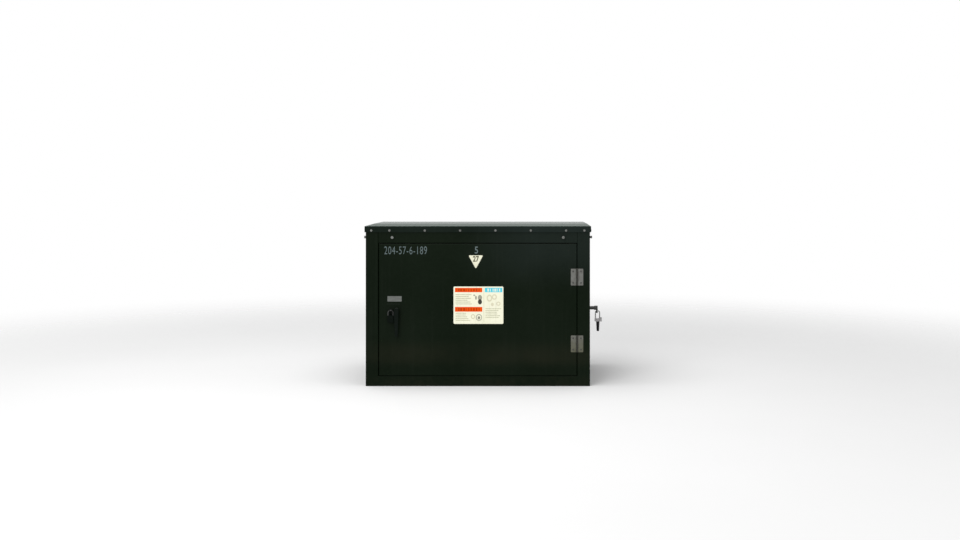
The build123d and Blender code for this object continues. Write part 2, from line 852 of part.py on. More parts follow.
def mounting_channel(level):
    """Channel across the cabinet, welded to an end plate at each side wall."""
    face = switch_z + level * (jaw_base + pad_thickness + insulator_length)
    half = channel_width / 2
    middle = face + level * channel_sheet / 2
    tip = face + level * channel_flange
    edge = half - channel_sheet / 2
    points = [(-edge, tip), (-edge, middle), (edge, middle), (edge, tip)]
    reach = half_x - sheet
    channel = Pos(-reach, 0, 0) * folded(Plane.YZ, points, 2 * reach, channel_sheet)
    end_half = channel_end[1] / 2
    height = sorted((face - level * (channel_end[0] - channel_flange), tip))
    for side in (-1, 1):
        x = sorted((side * (reach - channel_sheet), side * reach))
        channel += block(x, (-end_half, end_half), height)
    return channel


def insulator(level, x):
    """Ribbed post insulator between a channel and a contact."""
    near = switch_z + level * (jaw_base + pad_thickness)
    pitch = (insulator_length - 2 * insulator_cap) / insulator_sheds
    points = [(0, 0), (insulator_cap_radius, 0), (insulator_cap_radius, insulator_cap)]
    for shed in range(insulator_sheds):
        low = insulator_cap + shed * pitch
        slope, rim, rim_end, foot = [low + pitch * share for share in shed_shares]
        points += [(insulator_core, low), (insulator_core, slope)]
        points += [(insulator_shed, rim), (insulator_shed, rim_end), (insulator_core, foot)]
    top = insulator_length - insulator_cap
    points += [(insulator_cap_radius, top), (insulator_cap_radius, insulator_length), (0, insulator_length)]
    profile = make_face(Polyline(*points, close=True))
    post = revolve(Plane.XZ * profile, axis=Axis.Z)
    if level < 0:
        post = Rot(180, 0, 0) * post
    return Pos(x, 0, near) * post


def contact(level, x):
    """Fixed contact: two leaves that grip the blade, and a pad for cable lugs."""
    base = switch_z + level * jaw_base
    tip = base - level * jaw_grip
    inner = blade_thickness / 2 + jaw_clearance
    pad = block((x - pad_width / 2, x + pad_width / 2), (-pad_front, pad_back),
                sorted((base, base + level * pad_thickness)))
    pad = fillet(pad.edges().filter_by(Axis.Z).sort_by(Axis.Y)[-2:], pad_corner)
    bore = (base - 2 * pad_thickness, base + 2 * pad_thickness)
    for step in range(2):
        pad -= bar_z(lug_hole_radius, x, pad_back - lug_end - step * lug_pitch, bore)
    for side in (-1, 1):
        leaf_x = sorted((x + side * inner, x + side * (inner + jaw_sheet)))
        leaf = block(leaf_x, (-pad_front, pad_front), sorted((tip, base)))
        mouth = [e for e in leaf.edges().filter_by(Axis.X) if abs(e.center().Z - tip) < 0.1]
        pad += fillet(mouth, jaw_corner)
    return pad


def blade(x):
    """Moving blade: an eye round the hub and an arm to each contact."""
    tips = [Pos(0, level * blade_reach) * Circle(blade_tip_radius) for level in (-1, 1)]
    arm = make_hull([e for c in tips for e in c.edges()]) + Circle(blade_eye_radius)
    arm -= Circle(hub_outer_radius + running_clearance)
    plate = extrude(Plane.YZ * arm, amount=blade_thickness / 2, both=True)
    return Pos(x, 0, switch_z) * plate


def blade_hub(x):
    """Moulded hub that holds a blade on the shaft, with a collar at each end."""
    half = hub_width / 2
    hub = bar_x(hub_outer_radius, (x - half, x + half), 0, switch_z)
    for side in (-1, 1):
        span = sorted((x + side * (half - hub_collar_width), x + side * half))
        hub += bar_x(hub_outer_radius + hub_collar_rise, span, 0, switch_z)
    return hub - bar_x(tube_bore, (x - half - over, x + half + over), 0, switch_z)


def phase_barrier(x):
    """Insulating board between two phases, held between the channels."""
    reach = jaw_base + pad_thickness + insulator_length
    board = block((x - barrier_thickness / 2, x + barrier_thickness / 2), (-barrier_front, barrier_back),
                  (switch_z - reach, switch_z + reach))
    board = fillet(board.edges().filter_by(Axis.X), barrier_corner)
    return board - bar_x(shaft_hole, (x - barrier_thickness, x + barrier_thickness), 0, switch_z)


end_bearing_inner = -half_x + sheet + end_bearing_length


def switch_shaft():
    """Glass-fibre tube that carries the blades."""
    start = end_bearing_inner - end_bearing_socket
    tube = bar_x(shaft_outer, (start, coupling_x), 0, switch_z)
    return tube - bar_x(shaft_outer - shaft_wall, (start - over, coupling_x + over), 0, switch_z)


def end_bearing():
    """Flanged bearing on the left wall with a blind socket for the shaft."""
    wall = -half_x + sheet
    body = bar_x(end_bearing_radius, (wall, end_bearing_inner), 0, switch_z)
    body += bar_x(end_bearing_flange_radius, (wall, wall + end_bearing_flange), 0, switch_z)
    socket = (end_bearing_inner - end_bearing_socket - running_clearance, end_bearing_inner + over)
    return body - bar_x(tube_bore, socket, 0, switch_z)


def drive_housing():
    """Cast housing of the operating gear on the right wall, with a raised cover."""
    width, depth, height = drive_size
    wall = half_x - sheet
    low, high = switch_z - height / 2, switch_z + height / 2
    case = block((wall - width, wall), (-depth / 2, depth / 2), (low, high))
    case = fillet(case.edges().filter_by(Axis.X), drive_corner)
    side = depth / 2 - drive_cover_inset
    rise = (low + drive_cover_inset, high - drive_cover_inset)
    cover = block((wall - width - drive_cover, wall - width), (-side, side), rise)
    case += fillet(cover.edges().filter_by(Axis.X), drive_corner)
    bore = (wall - width - drive_cover - over, wall + over)
    return case - bar_x(spindle_bore, bore, 0, switch_z)


def shaft_coupling():
    """Sleeve that joins the glass-fibre tube to the steel spindle."""
    half = coupling_length / 2
    sleeve = bar_x(coupling_radius, (coupling_x - half, coupling_x + half), 0, switch_z)
    sleeve -= bar_x(tube_bore, (coupling_x - half - over, coupling_x), 0, switch_z)
    return sleeve - bar_x(spindle_bore, (coupling_x - over, coupling_x + half + over), 0, switch_z)


def operating_spindle():
    """Steel spindle from the coupling through the wall to the crank."""
    return bar_x(spindle_radius, (coupling_x, half_x + spindle_reach), 0, switch_z)


def flange_bolt_places():
    """Bolts round the spindle's flange on the right wall."""
    places = []
    for step in range(flange_bolt_count):
        angle = 2 * pi * (step + 0.5) / flange_bolt_count
        y = flange_bolt_circle * cos(angle)
        z = switch_z + flange_bolt_circle * sin(angle)
        places.append(Pos(half_x + flange_thickness, y, z) * facing["right"])
    return places


def flange_bolt_holes():
    """Holes for the flange's bolts, in the flange and in the wall."""
    depth = flange_thickness + sheet + over
    return [place * clearance_hole(pan_screw_radius, depth) for place in flange_bolt_places()]


def spindle_flange():
    """Flange with a short hub round the spindle, outside the right wall."""
    face = half_x
    body = bar_x(flange_radius, (face, face + flange_thickness), 0, switch_z)
    body += bar_x(flange_hub_radius, (face, face + flange_hub_length), 0, switch_z)
    body -= bar_x(spindle_bore, (face - over, face + flange_hub_length + over), 0, switch_z)
    return body - flange_bolt_holes()


crank_outer = half_x + spindle_reach + crank_plate
crank_inner = crank_outer - crank_hub_length


def operating_crank():
    """Crank on the spindle's end: a hub, and a short arm with an eye."""
    eye = crank_eye_radius + crank_eye_wall
    circles = Circle(crank_hub_radius).edges() + (Pos(0, -crank_eye_drop) * Circle(eye)).edges()
    arm = extrude(Plane.YZ * make_hull(circles), amount=crank_plate)
    arm = Pos(crank_outer - crank_plate, 0, switch_z) * arm
    hub = bar_x(crank_hub_radius, (crank_inner, crank_outer - crank_plate), 0, switch_z)
    crank = arm + hub
    crank -= bar_x(spindle_bore, (crank_inner - over, half_x + spindle_reach), 0, switch_z)
    through = (crank_inner - over, crank_outer + over)
    return crank - bar_x(crank_eye_radius, through, 0, switch_z - crank_eye_drop)


side_lock_x = crank_outer - side_lock_inset
side_lock_z = padlock_hang(switch_z - crank_eye_drop, crank_eye_radius, side_bend_radius, side_rod_radius,
                           crank_plate - side_lock_inset)


def side_padlock_case():
    """Padlock body that hangs from the crank: a square head with a raised shoulder at its
    outer end, over a tapered barrel."""
    width, depth, height = side_head_size
    top = side_lock_z - side_leg + padlock_socket
    middle = side_lock_x + side_head_offset
    edge = middle + width / 2
    head = block((middle - width / 2, edge), (-depth / 2, depth / 2), (top - height, top))
    head += block((edge - side_shoulder[0], edge), (-depth / 2, depth / 2), (top, top + side_shoulder[1]))
    head = fillet(head.edges().filter_by(Axis.Y), side_head_corner)
    barrel = Cone(side_barrel_radii[1], side_barrel_radii[0], side_barrel_length)
    barrel = chamfer(barrel.edges().filter_by(GeomType.CIRCLE).sort_by(Axis.Z)[0], side_barrel_bevel)
    case = head + Pos(side_lock_x + side_barrel_offset, 0, top - height - side_barrel_length / 2) * barrel
    for side in (-1, 1):
        case -= bar_z(side_rod_radius + running_clearance, side_lock_x + side * side_bend_radius, 0,
                      (top - padlock_socket, top + over))
    return case


def ground_bus():
    """Copper bar along the rear wall with a row of holes for lugs."""
    y = half_y - sheet - bus_standoff
    bar = block((-bus_length / 2, bus_length / 2), (y - bus_thickness, y),
                (bus_z - bus_height / 2, bus_z + bus_height / 2))
    for step in range(bus_hole_count):
        x = lug_pitch * (step - (bus_hole_count - 1) / 2)
        bar -= bar_y(lug_hole_radius, x, (y - bus_thickness - over, y + over), bus_z)
    return bar


def ground_bus_support(x):
    """Folded bracket between the rear wall and the ground bus."""
    back = half_y - sheet
    front = back - bus_standoff
    low = bus_z - bus_height / 2
    points = [
        (back - half_sheet, low - bus_support_foot),
        (back - half_sheet, low + bus_support_step),
        (front + half_sheet, low + bus_support_step),
        (front + half_sheet, low + bus_height),
    ]
    return Pos(x - bus_support_width / 2, 0, 0) * folded(Plane.YZ, points, bus_support_width)


def lifting_plate(place):
    """Tapped plate behind a wall that a lifting bolt screws into."""
    width, height, thickness = lift_plate
    plate = place * Pos(0, 0, -sheet - thickness / 2) * Box(width, height, thickness)
    return plate - place * clearance_hole(lift_bolt_radius, lift_bolt_length)


def lifting_bolt():
    """A lifting bolt, whose head stands off the wall on a round collar."""
    bolt = hex_bolt(lift_head_across, lift_head_height, lift_bolt_radius, lift_collar_height + lift_bolt_length)
    collar = Pos(0, 0, -lift_collar_height / 2) * Cylinder(lift_collar_radius, lift_collar_height)
    return Pos(0, 0, lift_collar_height) * (bolt + collar)


roof_screw = hex_bolt(hex_head_across, hex_head_height, screw_radius, roof_screw_grip)
rear_bolt = hex_bolt(hex_head_across, hex_head_height, screw_radius, rear_bolt_grip)
flange_bolt = hex_bolt(2 * pan_head_radius, pan_head_height, pan_screw_radius, flange_thickness + sheet)

nodes = {
    "base_frame": base_frame(),
    "left_side_wall": side_wall(-1),
    "right_side_wall": side_wall(1),
    "rear_wall": rear_wall(),
    "rear_wall_bolts": group([place * rear_bolt for place in rear_bolt_places()]),
    "header_rail": header_rail(),
    "sill_rail": sill_rail(),
    "roof_cover": roof_cover(),
    "roof_screws": group([place * roof_screw for place in roof_screw_places()]),
    "lifting_bolts": group([place * lifting_bolt() for place in lifting_places()]),
    "lifting_plates": group([lifting_plate(place) for place in lifting_places()]),
    "door_gasket": door_gasket(),
    "hinge_frame_leaves": group([hinge_leaf_piece(1, middle) for middle in hinge_heights]),
    "hinge_pins": group([hinge_pin(middle) for middle in hinge_heights]),
    "hinge_frame_screws": hinge_screws(1),
    "mounting_channels": group([mounting_channel(level) for level in (-1, 1)]),
    "upper_insulators": group([insulator(1, x) for x in phases]),
    "lower_insulators": group([insulator(-1, x) for x in phases]),
    "upper_contacts": group([contact(1, x) for x in phases]),
    "lower_contacts": group([contact(-1, x) for x in phases]),
    "phase_barriers": group([phase_barrier(x) for x in (-phase_pitch / 2, phase_pitch / 2)]),
    "ground_bus": ground_bus(),
    "ground_bus_supports": group([ground_bus_support(x) for x in (-bus_support_x, bus_support_x)]),
    "shaft_end_bearing": end_bearing(),
    "drive_housing": drive_housing(),
    "spindle_flange": spindle_flange(),
    "spindle_flange_bolts": group([place * flange_bolt for place in flange_bolt_places()]),
    "door_panel": door_panel(),
    "door_stiffeners": door_stiffeners(),
    "hinge_door_leaves": group([hinge_leaf_piece(-1, middle) for middle in hinge_heights]),
    "hinge_door_screws": hinge_screws(-1),
    "label_panel": label_panel(),
    "name_plate": name_plate(),
    "triangle_marker": triangle_marker(),
    "latch_escutcheon": latch_escutcheon(),
    "latch_bearing": latch_bearing(),
    "lock_guard": lock_guard(),
    "security_bolt": security_bolt(),
    "padlock_shackle": shackle(guard_x, latch_padlock_y, latch_padlock_z, padlock_bend_radius,
                               padlock_rod_radius, padlock_leg),
    "padlock_case": padlock_case(),
    "rod_guides": group([rod_guide(row, z) for row in (-1, 1) for z in guide_heights(row)]),
    "latch_lever": latch_lever(),
    "latch_shaft": latch_shaft(),
    "latch_cam": latch_cam(),
    "upper_latch_rod": latch_rod(1),
    "lower_latch_rod": latch_rod(-1),
    "switch_shaft": switch_shaft(),
    "blade_hubs": group([blade_hub(x) for x in phases]),
    "switch_blades": group([blade(x) for x in phases]),
    "shaft_coupling": shaft_coupling(),
    "operating_spindle": operating_spindle(),
    "operating_crank": operating_crank(),
    "side_padlock_shackle": shackle(side_lock_x, 0, side_lock_z, side_bend_radius,
                                    side_rod_radius, side_leg),
    "side_padlock_case": side_padlock_case(),
}

os.makedirs("parts", exist_ok=True)
for name, piece in nodes.items():
    export_step(piece, f"parts/{name}.step")
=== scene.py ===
import bmesh
import bpy
from math import cos, pi, radians, sin
from random import Random
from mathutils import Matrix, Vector


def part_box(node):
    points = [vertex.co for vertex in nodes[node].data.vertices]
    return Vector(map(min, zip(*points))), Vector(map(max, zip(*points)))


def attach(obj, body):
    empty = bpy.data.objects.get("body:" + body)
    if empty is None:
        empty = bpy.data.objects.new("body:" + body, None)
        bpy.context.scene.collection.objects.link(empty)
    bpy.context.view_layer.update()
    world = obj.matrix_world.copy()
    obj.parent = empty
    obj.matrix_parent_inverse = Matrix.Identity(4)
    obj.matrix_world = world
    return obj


# %% [markdown]
# # A roadside cabinet, dressed for its portrait
# The cabinet arrives as a finished set of solids: folded walls, a roof pan, a wide door,
# a latch, a crank and the switch inside. Nothing here changes their size or place.
# What is left to do is the work of a paint shop, a sign maker and a few years of weather,
# and then a floor, some light and a camera. All lengths are in metres.

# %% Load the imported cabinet
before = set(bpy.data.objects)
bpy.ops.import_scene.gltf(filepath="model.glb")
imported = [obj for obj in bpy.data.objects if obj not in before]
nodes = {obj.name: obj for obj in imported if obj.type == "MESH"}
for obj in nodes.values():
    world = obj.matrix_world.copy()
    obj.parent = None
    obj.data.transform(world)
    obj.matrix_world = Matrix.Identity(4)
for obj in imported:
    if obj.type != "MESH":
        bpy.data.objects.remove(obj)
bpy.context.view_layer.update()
print("pieces in the frame:", len(nodes))

# %% [markdown]
# ## Planes that other things are placed on
# The stencilled digits, the washers and the weld beads have to sit on the real surfaces.
# Reading those planes from the frame keeps them right if the cabinet is ever rebuilt.

# %% Planes read from the frame
door_low, door_high = (Vector(corner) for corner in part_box("door_panel"))
roof_low, roof_high = (Vector(corner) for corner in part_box("roof_cover"))
door_face = door_low.y
print("door face at y =", round(door_face, 4), "and roof top at z =", round(roof_high.z, 4))

# %% [markdown]
# ## Writing shader maths as plain expressions
# A procedural finish is mostly arithmetic on noise. Wiring it by hand takes a dozen Math
# nodes that nobody can read afterwards. So one small class wraps a socket and overloads
# the operators: `1 - mask * 0.4` then adds the nodes by itself.
# Colours don't go through Math nodes, which would turn them grey. They use Mix instead.


# %% A socket that does arithmetic
class Flow:
    """The value of one shader socket, with arithmetic that adds Math nodes."""

    def __init__(self, wiring, socket):
        self.wiring = wiring
        self.socket = socket

    def __add__(self, other):
        return self.wiring.math("ADD", self, other)

    def __radd__(self, other):
        return self.wiring.math("ADD", other, self)

    def __sub__(self, other):
        return self.wiring.math("SUBTRACT", self, other)

    def __rsub__(self, other):
        return self.wiring.math("SUBTRACT", other, self)

    def __mul__(self, other):
        return self.wiring.math("MULTIPLY", self, other)

    def above(self, low, high):
        """0 under low, 1 over high and a smooth ramp between."""
        ramp = {"interpolation_type": "SMOOTHSTEP", "clamp": True}
        limits = {"From Min": low, "From Max": high, "To Min": 0.0, "To Max": 1.0}
        return self.wiring.node("ShaderNodeMapRange", ramp, {"Value": self, **limits})

    def below(self, low, high):
        """1 under low, 0 over high and a smooth ramp between."""
        return 1 - self.above(low, high)

    def clamped(self):
        """The value kept between 0 and 1."""
        return self.wiring.node("ShaderNodeClamp", {}, {"Value": self, "Min": 0.0, "Max": 1.0})


# %% [markdown]
# ## One way to add every other node
# A node has a type, a few settings that change its sockets, and then values or links in
# those sockets. If each kind of node had its own helper, the script would be mostly
# helpers. One method takes all three, and it serves the materials and the world alike.


# %% A node tree with one way in
class Wiring:
    """A node tree, and the one way in which nodes are added to it."""

    def __init__(self, tree):
        self.tree = tree

    def node(self, kind, settings=None, values=None, output=0):
        """Any node: its type, its settings, and the values or links of its sockets."""
        made = self.tree.nodes.new(kind)
        for key, value in (settings or {}).items():
            setattr(made, key, value)
        for key, value in (values or {}).items():
            self.feed(made.inputs[key], value)
        return Flow(self, made.outputs[output])

    def feed(self, socket, value):
        """A link if the value comes from another node, or else a number or colour."""
        if isinstance(value, Flow):
            self.tree.links.new(value.socket, socket)
        else:
            socket.default_value = value

    def math(self, operation, *values):
        """A Math node on one value or more."""
        return self.node("ShaderNodeMath", {"operation": operation}, dict(enumerate(values)))


# %% [markdown]
# ## A finish, and the few ingredients it is mixed from
# A finish is one material. Its grain and its stains start from the object's own
# coordinates, so that they keep their real scale on a 6 mm screw and on a 1.6 m roof
# alike. Dust also asks which way the surface faces. Anything that is the same all over is
# set straight on the shader.

# %% The finish class
# The Mix node carries sockets for numbers, vectors and colours at once, under the same
# names, so the ones for colours are picked by number
MIX_SHARE, MIX_LOW, MIX_HIGH, MIX_RESULT = 0, 6, 7, 2
FACING_UP = (0.35, 0.95)


class Finish(Wiring):
    """One material with its shader and short ways to add ingredients."""

    def __init__(self, name, **constants):
        self.material = bpy.data.materials.new(name)
        self.material.use_nodes = True
        super().__init__(self.material.node_tree)
        self.shader = self.tree.nodes["Principled BSDF"]
        for key, value in constants.items():
            self.shader.inputs[key.replace("_", " ")].default_value = value
        self.place = self.node("ShaderNodeTexCoord", output="Object")
        self.axes = {}

    def axis(self, name):
        """One object coordinate."""
        if not self.axes:
            split = self.node("ShaderNodeSeparateXYZ", {}, {"Vector": self.place})
            outputs = split.socket.node.outputs
            self.axes = {letter: Flow(self, outputs[letter]) for letter in "XYZ"}
        return self.axes[name]

    def stretched(self, scale):
        """The coordinates times a vector, to draw noise out along an axis."""
        return self.node("ShaderNodeVectorMath", {"operation": "MULTIPLY"}, {0: self.place, 1: scale})

    def noise(self, scale, detail=3.0, roughness=0.55, stretch=None):
        """A cloudy noise with so many grains to the metre, drawn out along an axis if asked."""
        where = self.stretched(stretch) if stretch else self.place
        values = {"Vector": where, "Scale": scale, "Detail": detail, "Roughness": roughness}
        return self.node("ShaderNodeTexNoise", {}, values, "Fac")

    def cells(self, scale, output="Distance"):
        """A Voronoi texture with so many cells to the metre."""
        return self.node("ShaderNodeTexVoronoi", {}, {"Vector": self.place, "Scale": scale}, output)

    def facing_up(self):
        """1 where the surface looks up, 0 where it is upright."""
        normal = self.node("ShaderNodeNewGeometry", output="Normal")
        return self.node("ShaderNodeSeparateXYZ", {}, {"Vector": normal}, "Z").above(*FACING_UP)

    def mix(self, amount, low, high):
        """A colour between two colours."""
        values = {MIX_SHARE: amount, MIX_LOW: low, MIX_HIGH: high}
        return self.node("ShaderNodeMix", {"data_type": "RGBA"}, values, MIX_RESULT)

    def bump(self, height, depth):
        """A bump of a given depth that feeds the shader's normal."""
        made = self.node("ShaderNodeBump", {}, {"Height": height, "Strength": 1.0, "Distance": depth})
        self.feed(self.shader.inputs["Normal"], made)

    def colour(self, value):
        self.feed(self.shader.inputs["Base Color"], value)

    def roughness(self, value):
        self.feed(self.shader.inputs["Roughness"], value)

    def metallic(self, value):
        self.feed(self.shader.inputs["Metallic"], value)

    def wear(self, *names):
        """Gives this finish to some of the cabinet's own nodes."""
        for name in names:
            mesh = nodes[name].data
            mesh.materials.clear()
            mesh.materials.append(self.material)
        print(self.material.name, "on", len(names), "nodes")


def grey(value, tint=(1.0, 1.0, 1.0)):
    """A grey with a slight tint, as a colour with alpha."""
    return (value * tint[0], value * tint[1], value * tint[2], 1.0)


# %% [markdown]
# ## The green enamel
# The cabinet is sprayed with a dark green enamel. Its colour here is darkened further, to
# near black, as painted shade, and the latch's enamel is painted darker still. Outdoors it
# fades unevenly, rain draws faint upright streaks down it, dust settles on whatever faces up
# and mud splashes the foot. A little higher, a faint brown band on the walls is a painted
# reflection of the ground. The upper right of the front is painted a faint blue-grey, a
# painted reflection of the sky. The spray itself leaves a fine orange peel.
# A photographed texture would repeat over a door this wide, so each of these is a mask of
# its own, placed by height, by side or by noise. A strong specular would lift so dark a
# colour to grey in a bright studio, so the enamel's specular level is held low. Seen from
# nearly edge-on the roof still mirrors what is bright around it, and that is why it looks
# so much paler than the door. The roof's enamel is also mixed paler and bluer than the
# door's, and on its top a pale blue-green takes the place of grey dust: both are painted
# reflection of the sky.

# %% What settles on the enamel, the painted reflections on it, and where
# A brown for mud at the foot, and for a painted reflection of the ground higher up
MUD_AND_GROUND_REFLECTION = (0.060, 0.048, 0.030, 1.0)
DUST = (0.115, 0.120, 0.105, 1.0)
# A pale blue-green for the roof's top, a painted reflection of the sky
ROOF_SKY_REFLECTION = (0.072, 0.128, 0.098, 1.0)
# A blue-grey for the front's upper right, a painted reflection of the sky
FRONT_SKY_REFLECTION = (0.074, 0.094, 0.098, 1.0)

# Each pair is where a soft ramp begins and where it ends, along one of the cabinet's axes
SPLASH_UP = (0.01, 0.10)
GROUND_REFLECTION_FROM = (0.12, 0.20)
GROUND_REFLECTION_UNTIL = (0.22, 0.36)
SKY_REFLECTION_UP = (0.64, 1.00)
SKY_REFLECTION_ACROSS = (-0.22, 0.42)
FRONT_UNTIL = (door_face + 0.005, door_face + 0.060)
DULL_ROOF_UNTIL = (-0.22, 0.10)

# Fine from side to side and long up and down, as rain runs
RAIN_GRAIN = (46.0, 46.0, 1.3)
print("mud splashes up to", SPLASH_UP[1], "and sky_reflection_paint begins at", SKY_REFLECTION_UP[0])

# %% Enamel recipe
# A millimetre, for the depth of a grain and the thickness of a coat
MM = 0.001


def enamel(name, deep, faded, sheen=0.34, dust_and_sky_share=0.16, dust_and_sky_tint=DUST, gloss_step=0.0):
    """Weathered enamel between a deep and a faded green. Where it faces up, a second colour
    lies over it in part, which on the roof is a painted reflection of the sky. The half
    nearer the door can be a step duller where it faces up, as a roof is on the side that
    gathers more dirt."""
    paint = Finish(name, Specular_IOR_Level=0.035)
    fading = paint.noise(1.7, 4.0).above(0.30, 0.72)
    mottle = paint.noise(38.0, 3.0).above(0.35, 0.70)
    streak = paint.noise(1.0, 4.0, 0.6, stretch=RAIN_GRAIN).above(0.52, 0.74)
    speck = paint.noise(420.0, 2.0).above(0.66, 0.74)
    up = paint.facing_up()
    height = paint.axis("Z")
    splash = height.below(*SPLASH_UP) * paint.noise(24.0, 4.0, 0.65).above(0.36, 0.66)
    # A faint brown band at knee height: painted reflection of the ground
    film = height.above(*GROUND_REFLECTION_FROM) * height.below(*GROUND_REFLECTION_UNTIL) * paint.noise(2.6, 4.0).above(0.25, 0.70)
    # The front's upper right: a faint blue-grey painted reflection of the sky
    front = paint.axis("Y").below(*FRONT_UNTIL) * (1 - up)
    painted_sky_reflection = front * paint.axis("X").above(*SKY_REFLECTION_ACROSS) * height.above(*SKY_REFLECTION_UP)
    body = paint.mix(fading * 0.55 + mottle * 0.18, deep, faded)
    body = paint.mix(streak * 0.014, body, DUST)
    # What faces up takes grey dust, and on the roof a pale blue-green as a painted reflection of the sky
    body = paint.mix(up * dust_and_sky_share + speck * 0.04, body, dust_and_sky_tint)
    # Mud splashes the foot, and the band above it is a painted reflection of the ground in the same brown
    body = paint.mix(splash * 0.07 + film * 0.10, body, MUD_AND_GROUND_REFLECTION)
    # The upper right of the front takes the painted reflection of the sky
    paint.colour(paint.mix(painted_sky_reflection * (0.09 + fading * 0.03), body, FRONT_SKY_REFLECTION))
    dull = up * paint.axis("Y").below(*DULL_ROOF_UNTIL) * gloss_step
    grime_and_painted_shade = streak * 0.025 + splash * 0.25 + up * dust_and_sky_share * 0.5
    paint.roughness((sheen + mottle * 0.05 + grime_and_painted_shade + dull).clamped())
    orange_peel = paint.noise(260.0, 2.0)
    paint.bump(orange_peel + speck * 0.6, 0.07 * MM)
    return paint


# %% Enamel on the cabinet, the roof and the latch
# The deep and faded greens are darkened to near black as painted shade
cabinet_green_painted_shade = enamel("cabinet_enamel_painted_shade", deep=(0.0030, 0.0064, 0.0026, 1.0),
                       faded=(0.0062, 0.0106, 0.0056, 1.0))
cabinet_green_painted_shade.wear("base_frame", "left_side_wall", "right_side_wall", "rear_wall", "header_rail", "sill_rail",
                   "door_panel", "door_stiffeners", "latch_escutcheon")
# The roof's paler greens and its pale blue-green top are painted reflection of the sky
roof_green_painted_reflection = enamel("roof_enamel_painted_reflection", deep=(0.0050, 0.0092, 0.0062, 1.0),
                    faded=(0.0110, 0.0165, 0.0130, 1.0),
                    sheen=0.060, dust_and_sky_share=0.32, dust_and_sky_tint=ROOF_SKY_REFLECTION, gloss_step=0.13)
roof_green_painted_reflection.wear("roof_cover")
# The latch's greens are darker still, as painted shade
latch_green_painted_shade = enamel("latch_enamel_painted_shade", deep=(0.0022, 0.0042, 0.0028, 1.0),
                     faded=(0.0055, 0.0085, 0.0065, 1.0), sheen=0.36)
latch_green_painted_shade.wear("lock_guard", "latch_lever", "security_bolt", "spindle_flange")

# %% [markdown]
# ## Bare and plated steel
# Zinc on bolts goes dull and blotchy. The crank, the hinge screws and the door's shackle
# are darkened nearly to black as painted shade; the shackle on the side is plated and
# bright. A scanned texture could give each its own photograph of metal, but these are
# metals whose roughness varies more than their colour. So one recipe takes a clean and a
# dirty tone, the roughness and the shine, and adds blotches and a fine grain to both.


# %% Metal recipe
def metal(name, clean, dirty, rough, shine=0.9):
    """Metal between a clean and a dirty tone."""
    steel = Finish(name)
    patches = steel.noise(60.0, 4.0, 0.6).above(0.32, 0.70)
    fine = steel.noise(700.0, 2.0)
    steel.colour(steel.mix(patches * 0.7 + fine * 0.2, clean, dirty))
    steel.metallic(shine - patches * 0.35)
    steel.roughness((rough + patches * 0.16 + fine * 0.10).clamped())
    steel.bump(fine + patches * 0.5, 0.06 * MM)
    return steel


# %% Bolts, screws, crank and shackles
zinc = metal("dull_zinc_plate", clean=grey(0.175, (0.98, 1.03, 0.97)), dirty=grey(0.085, (1.0, 0.98, 0.90)),
             rough=0.48, shine=0.65)
zinc.wear("rear_wall_bolts", "roof_screws", "lifting_bolts", "spindle_flange_bolts")
# The hinge screws are darkened nearly to black as painted shade
screw_steel_painted_shade = metal("hinge_screw_steel_painted_shade", clean=grey(0.070, (1.0, 1.0, 0.96)),
                    dirty=grey(0.030, (1.04, 1.0, 0.88)), rough=0.5, shine=0.5)
screw_steel_painted_shade.wear("hinge_frame_screws", "hinge_door_screws")
# The crank and spindle are darkened nearly to black as painted shade
crank_steel_painted_shade = metal("crank_steel_darkened_painted_shade", clean=grey(0.085, (0.97, 1.0, 0.98)),
                    dirty=grey(0.030, (1.0, 0.97, 0.88)), rough=0.40, shine=0.6)
crank_steel_painted_shade.wear("operating_crank", "operating_spindle")
# The door's shackle is darkened nearly to black as painted shade
door_shackle_painted_shade = metal("dull_shackle_painted_shade", clean=grey(0.060, (0.96, 1.0, 0.98)),
                    dirty=grey(0.024, (1.04, 1.0, 0.92)), rough=0.45, shine=0.6)
door_shackle_painted_shade.wear("padlock_shackle")
new_shackle = metal("plated_shackle", clean=grey(0.60, (0.97, 1.0, 0.97)), dirty=grey(0.36), rough=0.24)
new_shackle.wear("side_padlock_shackle")

# %% [markdown]
# ## Hinge steel
# The two hinges are bare stainless leaves, brushed up and down. Beside the pin the steel is
# painted nearly black, as painted shade in the crease between the leaves, and the lower
# hinge has gone brown from splashes of mud.
# Two painted textures could show that. Measuring from the pin's own axis and from the
# cabinet's foot does it for both hinges with one material.

# %% Hinge steel, with painted shade by the pin and mud near the foot
PAINTED_PIN_SHADE = (0.0055, 0.0095)
MUDDY_UNTIL = (0.24, 0.42)
pin_low, pin_high = (Vector(corner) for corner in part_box("hinge_pins"))
pin_x = (pin_low.x + pin_high.x) / 2
hinge = Finish("weathered_hinge_steel", Specular_IOR_Level=0.35)
brushed = hinge.noise(1.0, 3.0, 0.6, stretch=(900.0, 900.0, 40.0))
stain = hinge.noise(34.0, 4.0, 0.6).above(0.32, 0.70)
# Painted shade: the knuckle and the crease beside the pin are darkened nearly to black
grime_and_painted_shade = hinge.math("ABSOLUTE", hinge.axis("X") - pin_x).below(*PAINTED_PIN_SHADE)
low_down = hinge.axis("Z").below(*MUDDY_UNTIL)
steel = hinge.mix(stain * 0.6 + brushed * 0.2, grey(0.158, (1.0, 1.03, 0.96)), grey(0.098, (1.04, 1.0, 0.88)))
steel = hinge.mix(low_down * 0.60, steel, (0.070, 0.070, 0.024, 1.0))
